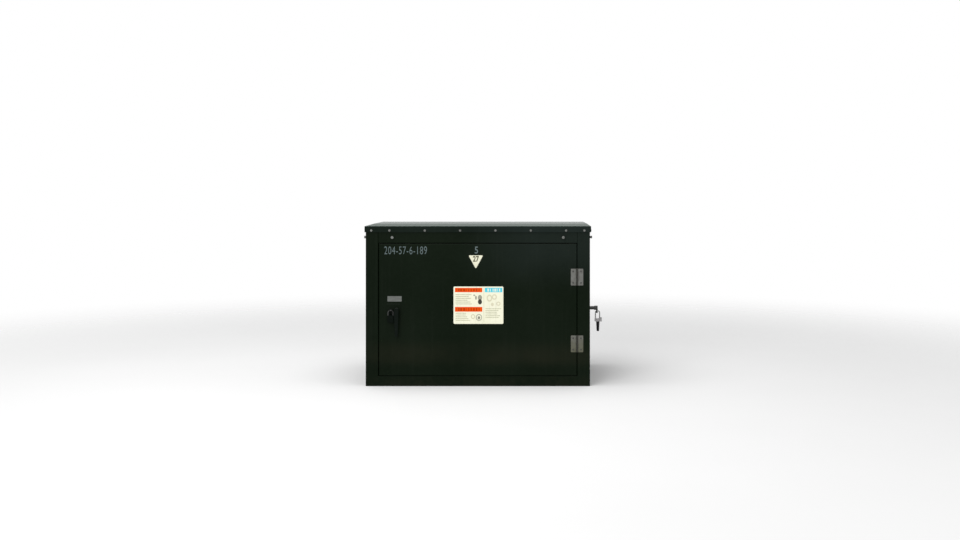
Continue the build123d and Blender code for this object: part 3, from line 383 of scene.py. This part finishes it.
# The pin's painted shade, near black
hinge.colour(hinge.mix(grime_and_painted_shade * 0.88, steel, (0.022, 0.022, 0.017, 1.0)))
hinge.metallic(0.42 - stain * 0.2 - grime_and_painted_shade * 0.2)
hinge.roughness(0.44 + stain * 0.16 + grime_and_painted_shade * 0.2)
hinge.bump(brushed + stain * 0.5, 0.06 * MM)
hinge.wear("hinge_frame_leaves", "hinge_door_leaves", "hinge_pins")

# %% [markdown]
# ## The two padlocks
# The lock on the door has a blackened case, rubbed brown-grey in patches. The crank's lock
# is one solid, coloured with painted light: a bright steel head as painted sunlight over a
# near-black barrel as painted shade. Its colour changes at the head's lower edge, along a
# line about a millimetre soft. Splitting the mesh would give the same look with more to
# look after.

# %% Blackened case on the door
black_case = Finish("blackened_padlock_case", Specular_IOR_Level=0.03)
rubbed = black_case.noise(70.0, 4.0, 0.65).above(0.56, 0.74)
black_case.colour(black_case.mix(rubbed * 0.4, (0.0026, 0.0046, 0.0032, 1.0), grey(0.018, (0.98, 1.0, 0.90))))
black_case.metallic(rubbed * 0.2)
black_case.roughness(0.52 - rubbed * 0.12)
black_case.bump(rubbed, 0.06 * MM)
black_case.wear("padlock_case")

# %% Painted sunlit head and painted shaded barrel of the crank's lock
HEAD_HEIGHT = 0.031
HEAD_EDGE = 0.0006
_, side_high = (Vector(corner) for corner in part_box("side_padlock_case"))
head_foot = side_high.z - HEAD_HEIGHT
side_case = Finish("padlock_lit_head_shaded_barrel", Specular_IOR_Level=0.35)
# Painted light: the top of the case is painted as sunlit steel
painted_lit_top = side_case.axis("Z").above(head_foot - HEAD_EDGE, head_foot + HEAD_EDGE)
scratched = side_case.noise(1.0, 4.0, 0.6, stretch=(700.0, 700.0, 60.0)).above(0.35, 0.7)
stained = side_case.noise(80.0, 4.0, 0.6).above(0.45, 0.75)
lit_steel = grey(0.42, (1.0, 0.98, 1.0))
dingy = grey(0.20, (1.05, 1.0, 0.90))
lit_top_colour = side_case.mix(stained * 0.5 + scratched * 0.2, lit_steel, dingy)
# Painted shade: the barrel below is near black
painted_shaded_barrel = side_case.mix(stained * 0.6, grey(0.012), grey(0.035))
side_case.colour(side_case.mix(painted_lit_top, painted_shaded_barrel, lit_top_colour))
side_case.metallic(painted_lit_top * (0.8 - stained * 0.3))
side_case.roughness(0.55 - painted_lit_top * 0.2 + stained * 0.1)
side_case.bump(scratched + stained * 0.4, 0.06 * MM)
side_case.wear("side_padlock_case")

# %% [markdown]
# ## Galvanized steel
# The channels, rods and lifting plates were dipped in molten zinc, which freezes into
# crystals the size of a fingernail, each turned another way. Voronoi cells are made for
# this: the random colour of a cell, read as one number, gives each crystal its own tone
# and its own roughness, and a slow cloud dulls whole areas.

# %% Galvanized steel, with crystals
galvanized = Finish("galvanized_steel")
crystal = galvanized.cells(85.0, output="Color")
grain = galvanized.node("ShaderNodeSeparateColor", {}, {"Color": crystal}, "Red")
cloud = galvanized.noise(7.0, 4.0).above(0.3, 0.7)
galvanized.colour(galvanized.mix(grain * 0.55 + cloud * 0.35, grey(0.50, (0.98, 1.0, 1.02)), grey(0.27)))
galvanized.metallic(0.85 - cloud * 0.25)
galvanized.roughness(0.34 + grain * 0.18 + cloud * 0.12)
galvanized.bump(grain, 0.04 * MM)
galvanized.wear("lifting_plates", "mounting_channels", "ground_bus_supports", "rod_guides", "latch_shaft",
                "latch_cam", "upper_latch_rod", "lower_latch_rod")

# %% [markdown]
# ## Castings and rubber
# A casting keeps the sandy skin of its mould under the paint, so a grainy noise drives
# its bump and its roughness together. The door's gasket is sponge rubber, full of pores:
# the distance inside a Voronoi cell is low at each pore's middle and high at its wall.

# %% Castings and rubber
casting = Finish("painted_casting", Specular_IOR_Level=0.4)
sand = casting.noise(620.0, 3.0, 0.7)
blotch = casting.noise(14.0, 3.0).above(0.3, 0.7)
casting.colour(casting.mix(blotch * 0.6 + sand * 0.3, grey(0.10, (0.95, 1.0, 1.04)), grey(0.055)))
casting.roughness(0.45 + sand * 0.25)
casting.bump(sand, 0.35 * MM)
casting.wear("latch_bearing", "shaft_coupling", "shaft_end_bearing", "drive_housing")

rubber = Finish("sponge_rubber", Specular_IOR_Level=0.25)
pores = rubber.cells(900.0).above(0.15, 0.75)
rubber.colour(rubber.mix(pores, grey(0.008), grey(0.022)))
rubber.roughness(0.72 + pores * 0.2)
rubber.bump(pores, 0.2 * MM)
rubber.wear("door_gasket")

# %% [markdown]
# ## What the switch is made of
# The insulators and hubs are cast resin, glossy and a little cloudy, with dust on top.
# The boards between the phases and the shaft are glass fibre in resin. Strands lie at
# random in a board, so two noises drawn out along two axes are multiplied. They run
# along the shaft, which is pulled through a die, so there one noise is enough. The
# contacts, blades and bus are copper that has gone brown in patches.

# %% Resin, board, shaft and copper
resin = Finish("cast_resin", Specular_IOR_Level=0.5)
cloudy = resin.noise(18.0, 4.0).above(0.3, 0.7)
dusty = resin.facing_up() * resin.noise(60.0, 3.0).above(0.4, 0.7)
red_brown = resin.mix(cloudy, (0.130, 0.032, 0.016, 1), (0.085, 0.022, 0.012, 1))
resin.colour(resin.mix(dusty * 0.35, red_brown, DUST))
resin.roughness(0.16 + cloudy * 0.08 + dusty * 0.4)
resin.bump(resin.noise(120.0, 2.0), 0.08 * MM)
resin.wear("upper_insulators", "lower_insulators", "blade_hubs")

board = Finish("glass_polyester_board", Specular_IOR_Level=0.35)
strands = board.noise(1.0, 5.0, 0.7, stretch=(300.0, 260.0, 34.0))
crossing = board.noise(1.0, 5.0, 0.7, stretch=(300.0, 30.0, 280.0))
weave = (strands * crossing).above(0.16, 0.38)
board.colour(board.mix(weave, (0.300, 0.110, 0.060, 1), (0.205, 0.062, 0.035, 1)))
board.roughness(0.42 + weave * 0.2)
board.bump(weave, 0.1 * MM)
board.wear("phase_barriers")

tube = Finish("drawn_glass_fibre", Specular_IOR_Level=0.5)
fibres = tube.noise(1.0, 4.0, 0.6, stretch=(6.0, 420.0, 420.0))
tube.colour(tube.mix(fibres.above(0.35, 0.65), (0.560, 0.480, 0.230, 1), (0.420, 0.340, 0.150, 1)))
tube.roughness(0.28 + fibres * 0.15)
tube.bump(fibres, 0.08 * MM)
tube.wear("switch_shaft")

copper = Finish("tarnished_copper")
tarnish = copper.noise(16.0, 5.0, 0.6).above(0.34, 0.68)
rolled = copper.noise(1.0, 3.0, 0.6, stretch=(30.0, 700.0, 700.0))
copper.colour(copper.mix(tarnish, (0.680, 0.300, 0.170, 1), (0.300, 0.130, 0.070, 1)))
copper.metallic(0.95 - tarnish * 0.2)
copper.roughness(0.26 + tarnish * 0.22 + rolled * 0.08)
copper.bump(rolled, 0.05 * MM)
copper.wear("upper_contacts", "lower_contacts", "switch_blades", "ground_bus")

# %% [markdown]
# ## The label panel
# The panel on the door is a cream film with two orange bars on the left and a blue bar on
# the right. Under them are blocks of broken lines and a few round spots. A printed picture
# would need an image, so all of it is drawn as masks: each bar is a box in the door's own
# X and Z, with edges less than a millimetre soft, and each spot is an ellipse. Such plain
# fields of colour and simple shapes stay sharp however near the camera comes.

# %% A rectangular field of colour
label_low, label_high = (Vector(corner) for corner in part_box("label_panel"))
label_wide = label_high.x - label_low.x
label_tall = label_high.z - label_low.z
EDGE = 0.35 * MM


def across(share):
    """The X of a place on the label, given as a share of its width."""
    return label_low.x + share * label_wide


def upward(share):
    """The Z of a place on the label, given as a share of its height."""
    return label_low.z + share * label_tall


def field(finish, left, right, bottom, top):
    """1 inside a rectangle given as shares of the label, 0 outside it."""
    x, z = finish.axis("X"), finish.axis("Z")
    x0, x1, z0, z1 = across(left), across(right), upward(bottom), upward(top)
    band = x.above(x0 - EDGE, x0 + EDGE) * x.below(x1 - EDGE, x1 + EDGE)
    return band * z.above(z0 - EDGE, z0 + EDGE) * z.below(z1 - EDGE, z1 + EDGE)


print("label:", round(label_wide, 4), "by", round(label_tall, 4))


# %% Lines, dashes and spots
RAGGED_SHARE = 0.34
LINE_GRAIN = (170.0, 0.0, 320.0)
LINE_BREAKS = (0.36, 0.44)
LINE_GAP = 0.40
DASH_GRAIN = (60.0, 0.0, 0.0)
DASH_DRIFT = 1.6
DASH_GAP = 0.30
INK_RISE = 0.10
INK_FALL = (0.86, 0.96)
BLOT_RIM = (0.92, 1.08)
HOLE_SOFTNESS = 0.1


def inked(finish, phase, gap):
    """1 over the printed part of each row or dash, 0 in the gap that it starts with."""
    stripe = finish.math("FRACT", phase)
    return stripe.above(gap, gap + INK_RISE) * stripe.below(*INK_FALL)


def lines(finish, left, right, bottom, top, count):
    """Broken lines of uneven length inside a rectangle, which give it an even tone from afar."""
    phase = (finish.axis("Z") - upward(bottom)) * (count / (upward(top) - upward(bottom)))
    row = finish.math("FLOOR", phase)
    ragged = finish.node("ShaderNodeTexWhiteNoise", {"noise_dimensions": "1D"}, {"W": row + right}, "Value")
    longest = (right - left) * label_wide * RAGGED_SHARE
    end = (finish.axis("X") + ragged * longest).below(across(right) - EDGE, across(right) + EDGE)
    unbroken = finish.noise(1.0, 1.0, stretch=LINE_GRAIN).above(*LINE_BREAKS)
    return field(finish, left, right, bottom, top) * end * unbroken * inked(finish, phase, LINE_GAP)


def dashes(finish, left, right, bottom, top, count):
    """A row of uneven upright dashes inside a rectangle, which gives a bar its broken tone."""
    drift = finish.noise(1.0, 1.0, stretch=DASH_GRAIN)
    phase = (finish.axis("X") - across(left)) * (count / (across(right) - across(left))) + drift * DASH_DRIFT
    return field(finish, left, right, bottom, top) * inked(finish, phase, DASH_GAP)


def blot(finish, middle, height, wide, tall, hole):
    """1 inside an upright ellipse given as shares of the label, with an empty middle if asked."""
    x = (finish.axis("X") - across(middle)) * (2 / (wide * label_wide))
    z = (finish.axis("Z") - upward(height)) * (2 / (tall * label_tall))
    reach = finish.math("SQRT", x * x + z * z)
    disc = reach.below(*BLOT_RIM)
    return disc * reach.above(hole - HOLE_SOFTNESS, hole + HOLE_SOFTNESS) if hole else disc


# %% The label's colours and layout
CREAM = (0.800, 0.800, 0.590, 1.0)
PALE = (0.870, 0.860, 0.690, 1.0)
ORANGE = (0.800, 0.082, 0.003, 1.0)
DARK_ORANGE = (0.330, 0.022, 0.002, 1.0)
LIGHT_BLUE = (0.090, 0.600, 0.740, 1.0)
PRINT_OLIVE = (0.330, 0.330, 0.170, 1.0)
INK = (0.030, 0.028, 0.024, 1.0)
TAN = (0.420, 0.340, 0.170, 1.0)

# All places on the label are shares of its width and height, from its lower left corner
LEFT_COLUMN = (0.028, 0.577)
RIGHT_COLUMN = (0.628, 0.978)
DIVIDER = (0.605, 0.612, 0.03, 0.97)
TOP_BAR = (0.848, 0.965)
LOWER_BAR = (0.326, 0.454)
ORANGE_DASHES = (0.06, 0.52)
ORANGE_DASH_MARGINS = (0.022, 0.026)
ORANGE_DASH_COUNT = 9
BLUE_DASHES = (0.655, 0.935, 0.866, 0.945)
BLUE_DASH_COUNT = 6

# Left, right, bottom, top and the number of lines
PRINT_BLOCKS = ((0.04, 0.39, 0.50, 0.80, 6), (0.04, 0.34, 0.06, 0.30, 5), (0.64, 0.96, 0.14, 0.42, 6))

# Round spots and rings: place, size, hole, strength and colour
BLOTS = ((0.530, 0.700, 0.085, 0.150, 0.0, 0.62, INK), (0.530, 0.590, 0.080, 0.140, 0.0, 0.97, INK),
         (0.450, 0.700, 0.036, 0.110, 0.0, 0.62, INK), (0.415, 0.765, 0.040, 0.040, 0.0, 0.60, INK),
         (0.510, 0.172, 0.125, 0.185, 0.70, 0.52, INK), (0.390, 0.195, 0.085, 0.130, 0.60, 0.50, TAN),
         (0.510, 0.165, 0.050, 0.080, 0.0, 0.72, INK), (0.720, 0.690, 0.110, 0.190, 0.60, 0.42, TAN),
         (0.820, 0.720, 0.100, 0.150, 0.55, 0.40, TAN), (0.780, 0.520, 0.060, 0.090, 0.0, 0.38, TAN),
         (0.900, 0.540, 0.090, 0.110, 0.50, 0.38, TAN))
print("blocks of lines:", len(PRINT_BLOCKS), "and spots:", len(BLOTS))

# %% The label's film
film = Finish("label_film", Specular_IOR_Level=0.04)
margin_under, margin_over = ORANGE_DASH_MARGINS
yellowing = film.noise(9.0, 4.0).above(0.3, 0.75)
print_colour = film.mix(yellowing * 0.5, PALE, CREAM)
print_colour = film.mix(field(film, *DIVIDER) * 0.5, print_colour, PRINT_OLIVE)
for low, high in (TOP_BAR, LOWER_BAR):
    print_colour = film.mix(field(film, *LEFT_COLUMN, low, high), print_colour, ORANGE)
    broken = dashes(film, *ORANGE_DASHES, low + margin_under, high - margin_over, ORANGE_DASH_COUNT)
    print_colour = film.mix(broken * 0.75, print_colour, DARK_ORANGE)
print_colour = film.mix(field(film, *RIGHT_COLUMN, *TOP_BAR), print_colour, LIGHT_BLUE)
print_colour = film.mix(dashes(film, *BLUE_DASHES, BLUE_DASH_COUNT) * 0.85, print_colour, PALE)
for block in PRINT_BLOCKS:
    print_colour = film.mix(lines(film, *block) * 0.62, print_colour, PRINT_OLIVE)
for *outline, depth, colour in BLOTS:
    print_colour = film.mix(blot(film, *outline) * depth, print_colour, colour)
run_down = film.noise(1.0, 4.0, 0.6, stretch=(60.0, 60.0, 4.0)).above(0.55, 0.8)
film.colour(film.mix(run_down * 0.18, print_colour, DUST))
film.roughness(0.34 + yellowing * 0.1 + run_down * 0.25)
film.bump(film.noise(240.0, 2.0), 0.05 * MM)
film.wear("label_panel")

# %% [markdown]
# ## The triangle and the small bare plate
# The triangle is a second piece of cream film, left plain here because its mark is a
# separate piece further on. The plate over the latch is soft grey metal, dulled in level
# bands by the rain that dries on it, and scuffed by keys. Both need only two noises.

# %% The triangle and the small bare plate
triangle = Finish("triangle_film", Specular_IOR_Level=0.10)
aged = triangle.noise(22.0, 4.0).above(0.3, 0.75)
triangle.colour(triangle.mix(aged * 0.6, (0.850, 0.840, 0.670, 1), (0.640, 0.630, 0.460, 1)))
triangle.roughness(0.36 + aged * 0.2)
triangle.bump(triangle.noise(240.0, 2.0), 0.05 * MM)
triangle.wear("triangle_marker")

plate = Finish("bare_grey_plate", Specular_IOR_Level=0.4)
dulled = plate.noise(1.0, 4.0, 0.6, stretch=(18.0, 18.0, 90.0)).above(0.3, 0.7)
scuff = plate.noise(300.0, 2.0).above(0.6, 0.7)
rinsed = grey(0.130, (0.96, 1.04, 0.96))
plate.colour(plate.mix(dulled * 0.6 + scuff * 0.3, rinsed, grey(0.085, (1.0, 1.02, 0.96))))
plate.metallic(0.25 + dulled * 0.15)
plate.roughness(0.45 + dulled * 0.15)
plate.bump(dulled + scuff * 0.4, 0.08 * MM)
plate.wear("name_plate")

# %% [markdown]
# ## Washers under the roof screws
# A roof screw outdoors has a thin metal washer with a ring of rubber under it, and the
# rubber is squeezed a little past the metal's rim. A ring could be cut from a disc with a
# Boolean. Turning a short profile about the screw's axis is simpler, gives even faces, and
# needs only the screws' own places, which are read from the frame solid by solid.


# %% The separate solids of one node
def solids(name):
    """The lowest and the highest corner of each separate solid in a node."""
    mesh = nodes[name].data
    corners = [tuple(round(value, 5) for value in vertex.co) for vertex in mesh.vertices]
    leader = {corner: corner for corner in corners}

    def lead(corner):
        while leader[corner] != corner:
            corner = leader[corner]
        return corner

    for face in mesh.polygons:
        first = lead(corners[face.vertices[0]])
        for index in face.vertices[1:]:
            leader[lead(corners[index])] = first
    groups = {}
    for corner in set(corners):
        groups.setdefault(lead(corner), []).append(corner)
    print(name, "has", len(groups), "separate solids")
    boxes = [tuple(Vector(limit(axis) for axis in zip(*group)) for limit in (min, max))
             for group in groups.values()]
    return sorted(boxes, key=lambda box: tuple(box[0]))


# %% A ring turned about an axis
RING_STEPS = 28


def add_ring(shape, middle, outward, profile):
    """Adds a closed ring, whose profile is a list of radius and height, to a mesh in the making."""
    turn = outward.to_track_quat("Z", "Y")
    rows = []
    for step in range(RING_STEPS):
        angle = 2 * pi * step / RING_STEPS
        turned = [turn @ Vector((radius * cos(angle), radius * sin(angle), height))
                  for radius, height in profile]
        rows.append([shape.verts.new(middle + point) for point in turned])
    for row, after in zip(rows, rows[1:] + rows[:1]):
        for index in range(len(profile)):
            above = (index + 1) % len(profile)
            shape.faces.new((row[index], after[index], after[above], row[above]))


# %% From a mesh in the making to a piece
SHARP_EDGE = 35.0


def finished_piece(name, shape, finish, body):
    """Turns a mesh in the making into a piece that rides on a body."""
    bmesh.ops.recalc_face_normals(shape, faces=shape.faces)
    mesh = bpy.data.meshes.new(name)
    shape.to_mesh(mesh)
    shape.free()
    mesh.shade_smooth()
    mesh.set_sharp_from_angle(angle=radians(SHARP_EDGE))
    mesh.materials.append(finish.material)
    piece = bpy.data.objects.new(name, mesh)
    bpy.context.scene.collection.objects.link(piece)
    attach(piece, body)
    print(name, "has", len(mesh.polygons), "faces")


# %% Washers and their rubber
SEAL = ((0.0060, 0.0), (0.0090, 0.0), (0.0093, 0.0003), (0.0090, 0.0007), (0.0060, 0.0007))
WASHER = ((0.0060, 0.0007), (0.0082, 0.0007), (0.0084, 0.0010), (0.0080, 0.0014), (0.0060, 0.0017))
roof_middle = (roof_low + roof_high) / 2
roof_half = (roof_high - roof_low) / 2


def on_the_skirt(low, high):
    """Where a screw's axis meets the roof's skirt, and the way out from there."""
    middle = (low + high) / 2
    away = middle - roof_middle
    on_end = roof_half.x - abs(away.x) < roof_half.y - abs(away.y)
    outward = Vector((away.x, 0, 0) if on_end else (0, away.y, 0)).normalized()
    face = roof_middle + Vector((outward.x * roof_half.x, outward.y * roof_half.y, 0))
    foot = Vector((face.x if on_end else middle.x, middle.y if on_end else face.y, middle.z))
    return foot, outward


screws = [on_the_skirt(low, high) for low, high in solids("roof_screws")]
for name, profile, finish, slot in (("roof_screw_seals", SEAL, rubber, "gasket_rubber"),
                                    ("roof_screw_washers", WASHER, zinc, "zinc_bolts")):
    shape = bmesh.new()
    for foot, outward in screws:
        add_ring(shape, foot, outward, profile)
    finished_piece(name, shape, finish, "cabinet")

# %% [markdown]
# ## Weld beads inside the door
# The two stiffeners are stitch welded to the door's skin before the door is painted, so
# each stitch is a short rippled fillet under the enamel. A bump map would lie flat in the
# corner that a fillet fills, so the stitches are meshes: a rounded corner section that
# swells and shrinks along its length as the puddle froze, and tapers at both ends.

# %% One stitch
STITCH_LENGTH = 0.030
STITCH_PITCH = 0.150
STITCH_LEG = 0.0034
STITCH_SHIFT = 0.006
STITCH_ROWS = 26
RIPPLE_ROWS = 4
RIPPLE_DEPTH = 0.10
END_SIZE = 0.25
END_SLOPE = 5.0
LEG_VARIES = (0.9, 1.15)
RIPPLE_VARIES = (-0.03, 0.03)
LENGTH_VARIES = (0.85, 1.15)
SECTION = ((0.0, 0.0), (1.0, 0.0), (0.80, 0.42), (0.42, 0.80), (0.0, 1.0))
welder = Random(8)


def add_stitch(shape, corner, side, length):
    """Adds one fillet weld that runs up from a corner point, between the skin and a flange's edge."""
    leg = STITCH_LEG * welder.uniform(*LEG_VARIES)
    rows = []
    for step in range(STITCH_ROWS + 1):
        share = step / STITCH_ROWS
        taper = min(1.0, END_SIZE + END_SLOPE * min(share, 1 - share))
        ripple = 1 + RIPPLE_DEPTH * sin(2 * pi * step / RIPPLE_ROWS) + welder.uniform(*RIPPLE_VARIES)
        swell = leg * taper * ripple
        rows.append([shape.verts.new(corner + Vector((side * beside * swell, out * swell, share * length)))
                     for beside, out in SECTION])
    for row, after in zip(rows, rows[1:]):
        for index in range(len(SECTION)):
            following = (index + 1) % len(SECTION)
            shape.faces.new((row[index], row[following], after[following], after[index]))
    shape.faces.new(rows[0])
    shape.faces.new(rows[-1])


# %% A row of stitches along each edge of both stiffeners
shape = bmesh.new()
stitches = 0
for low, high in solids("door_stiffeners"):
    height = low.z + STITCH_PITCH / 2
    while height + STITCH_LENGTH < high.z:
        for x, side in ((low.x, -1), (high.x, 1)):
            start = height + welder.uniform(-STITCH_SHIFT, STITCH_SHIFT)
            add_stitch(shape, Vector((x, low.y, start)), side, STITCH_LENGTH * welder.uniform(*LENGTH_VARIES))
            stitches += 1
        height += STITCH_PITCH
print("stitches:", stitches)
finished_piece("stiffener_weld_stitches", shape, cabinet_green_painted_shade, "door")

# %% [markdown]
# ## Digits on the door
# A row of plain digits is stencilled at the door's upper left, one digit stands over the
# triangle and two stand in it. They mean nothing in particular. In the door's own colour
# they would need an image, or a mask for every stroke. Text objects give clean outlines
# instead, which are turned into closed meshes a fifth of a millimetre thick, so that they
# ride on the door as a coat of stencil paint does.

# %% Digit maker
PAINT_THICKNESS = 0.2 * MM
SAME_POINT = 0.001 * MM
CURVE_STEPS = 4


def digits(name, text, left, base, wide, tall, finish, stroke, spacing=1.0, front=0.0):
    """A row of digits on the door, given its left end, its base line, its width and its height.
    The stroke makes the digits bolder or, under 0, thinner, as a share of their size."""
    curve = bpy.data.curves.new(name, "FONT")
    curve.body = text
    curve.space_character = spacing
    curve.resolution_u = CURVE_STEPS
    curve.offset = stroke
    curve.extrude = PAINT_THICKNESS / 2
    draft = bpy.data.objects.new(name + "_draft", curve)
    bpy.context.scene.collection.objects.link(draft)
    outline = bpy.data.meshes.new_from_object(draft)
    bpy.data.objects.remove(draft)
    shape = bmesh.new()
    shape.from_mesh(outline)
    bpy.data.meshes.remove(outline)
    bmesh.ops.remove_doubles(shape, verts=shape.verts, dist=SAME_POINT)
    low_x = min(vertex.co.x for vertex in shape.verts)
    narrow = wide / (max(vertex.co.x for vertex in shape.verts) - low_x)
    rise = tall / max(vertex.co.y for vertex in shape.verts)
    middle = door_face - front - PAINT_THICKNESS / 2
    for vertex in shape.verts:
        along, up, out = vertex.co
        vertex.co = Vector(((along - low_x) * narrow + left, middle - out, up * rise + base))
    open_edges = sum(not edge.is_manifold for edge in shape.edges)
    print(name, "is", round(wide / MM), "mm wide,", round(tall / MM), "mm tall, open edges:", open_edges)
    finished_piece(name, shape, finish, "door")


# %% Stencil paint and its digits
NUMBER_INSET = 0.038
NUMBER_DROP = 0.0755
triangle_low, triangle_high = (Vector(corner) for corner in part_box("triangle_marker"))
triangle_x = (triangle_low.x + triangle_high.x) / 2
stencil = Finish("faded_stencil_paint", Specular_IOR_Level=0.2)
worn = stencil.noise(150.0, 4.0, 0.65).above(0.35, 0.72)
stencil.colour(stencil.mix(worn * 0.6, (0.125, 0.165, 0.170, 1), (0.045, 0.060, 0.056, 1)))
stencil.roughness(0.55 + worn * 0.2)
stencil.bump(worn, 0.05 * MM)
digits("stencilled_digits", "204-57-6-189", left=door_low.x + NUMBER_INSET, base=door_high.z - NUMBER_DROP,
       wide=0.307, tall=0.0565, finish=stencil, stroke=-0.006, spacing=1.1)
digits("digit_over_triangle", "5", left=triangle_x - 0.008, base=triangle_high.z + 0.014,
       wide=0.024, tall=0.049, finish=stencil, stroke=0.012)

# %% Ink and the digits in the triangle
ink = Finish("triangle_ink", Specular_IOR_Level=0.3)
dense = ink.noise(160.0, 3.0).above(0.4, 0.7)
ink.colour(ink.mix(dense, (0.050, 0.046, 0.018, 1), (0.110, 0.100, 0.045, 1)))
ink.roughness(0.45 + dense * 0.1)
ink.bump(dense, 0.03 * MM)
digits("digits_in_triangle", "27", left=triangle_x - 0.021, base=triangle_low.z + 0.047,
       wide=0.044, tall=0.040, finish=ink, stroke=0.03, front=door_face - triangle_low.y)

# %% [markdown]
# ## Floor
# The floor is plain and pale, and keeps the cabinet's shadow. A backdrop that curves up
# behind the cabinet would hide the horizon, but it would also stand in its reflections. So
# the floor stays flat and fades out some metres away, and no line runs behind the cabinet.

# %% Floor
FLOOR_SIZE = 24.0
FLOOR_FADE = (2.2, 7.5)
bpy.ops.mesh.primitive_plane_add(size=FLOOR_SIZE, location=(0.0, 0.0, 0.0))
floor = bpy.context.object
floor.name = "studio_floor"
floor_finish = Finish("studio_floor_pale", Roughness=0.9, Specular_IOR_Level=0.1)
floor_finish.colour(floor_finish.mix(floor_finish.noise(0.8, 2.0), grey(0.80), grey(0.83)))
away = floor_finish.node("ShaderNodeVectorMath", {"operation": "LENGTH"}, {0: floor_finish.place}, "Value")
floor_finish.feed(floor_finish.shader.inputs["Alpha"], away.below(*FLOOR_FADE))
floor.data.materials.append(floor_finish.material)
print("floor fades out between", FLOOR_FADE[0], "and", FLOOR_FADE[1], "from the cabinet's middle")

# %% [markdown]
# ## World
# The world stands for the white walls of a studio. Walls bright enough to look white would
# also flood the dark paint with light. So the world is a soft grey for lighting, and pure
# white where the camera looks at it, straight, in a reflection or through something clear.
# The Light Path node can tell which of these a ray is.

# %% World
WORLD_LIGHT = 0.55
WHITE = 1.0
LOOKS = ("Is Camera Ray", "Is Glossy Ray", "Is Transmission Ray")
world = bpy.data.worlds.new("studio_world")
bpy.context.scene.world = world
world.use_nodes = True
walls = Wiring(world.node_tree)
background = walls.tree.nodes["Background"]
background.inputs["Color"].default_value = grey(WHITE)
rays = walls.node("ShaderNodeLightPath").socket.node.outputs
seen = 0.0
for look in LOOKS:
    seen = walls.math("MAXIMUM", seen, Flow(walls, rays[look]))
walls.feed(background.inputs["Strength"], WORLD_LIGHT + seen * (WHITE - WORLD_LIGHT))
print("world lights at", WORLD_LIGHT, "and shows as", WHITE)

# %% [markdown]
# ## Lamps
# Enamel this dark shows its form only by soft, wide light. A sun lamp would give one hard
# streak, so two large area lamps are used. One is nearly overhead and lays the shadow
# under the cabinet. The other is far in front at the left, and only fills the door.


# %% Lamps
def lamp(name, place, target, size, power):
    """A square area lamp that looks at a point."""
    data = bpy.data.lights.new(name, "AREA")
    data.size = size
    data.energy = power
    light = bpy.data.objects.new(name, data)
    light.location = place
    light.rotation_euler = (Vector(target) - Vector(place)).to_track_quat("-Z", "Y").to_euler()
    bpy.context.scene.collection.objects.link(light)
    print(name, "at", place, "with", power, "W")


CABINET_MIDDLE = (0.0, 0.0, 0.6)
lamp("overhead_softbox", (-1.0, -1.2, 6.5), CABINET_MIDDLE, size=6.0, power=300.0)
lamp("front_fill", (-3.5, -9.0, 4.6), CABINET_MIDDLE, size=5.0, power=350.0)

# %% [markdown]
# ## Camera
# The photograph was taken from just under eye height, about nine metres away and a little
# right of the cabinet's middle, and the upright edges in it are parallel. A camera tipped
# down to centre the cabinet would make them lean together. So this one is held level and
# square to the door, and a small lens shift puts the cabinet where it sits in the frame.
# The focal length follows from its size there, and the place from where its depth lines
# meet.

# %% Camera
CAMERA_PLACE = (0.336, -9.293, 1.432)
CAMERA_LENS = 45.53
CAMERA_FILM_WIDTH = 36.0
CAMERA_SHIFT = (-0.0464, -0.0864)
LEVEL = (radians(90.0), 0.0, 0.0)
camera_data = bpy.data.cameras.new("camera")
camera_data.lens = CAMERA_LENS
camera_data.sensor_width = CAMERA_FILM_WIDTH
camera_data.shift_x, camera_data.shift_y = CAMERA_SHIFT
camera = bpy.data.objects.new("camera", camera_data)
camera.location = CAMERA_PLACE
camera.rotation_euler = LEVEL
bpy.context.scene.collection.objects.link(camera)
bpy.context.scene.camera = camera
bpy.context.scene.view_settings.view_transform = "Standard"
print("camera at", CAMERA_PLACE, "with a lens of", CAMERA_LENS, "mm")
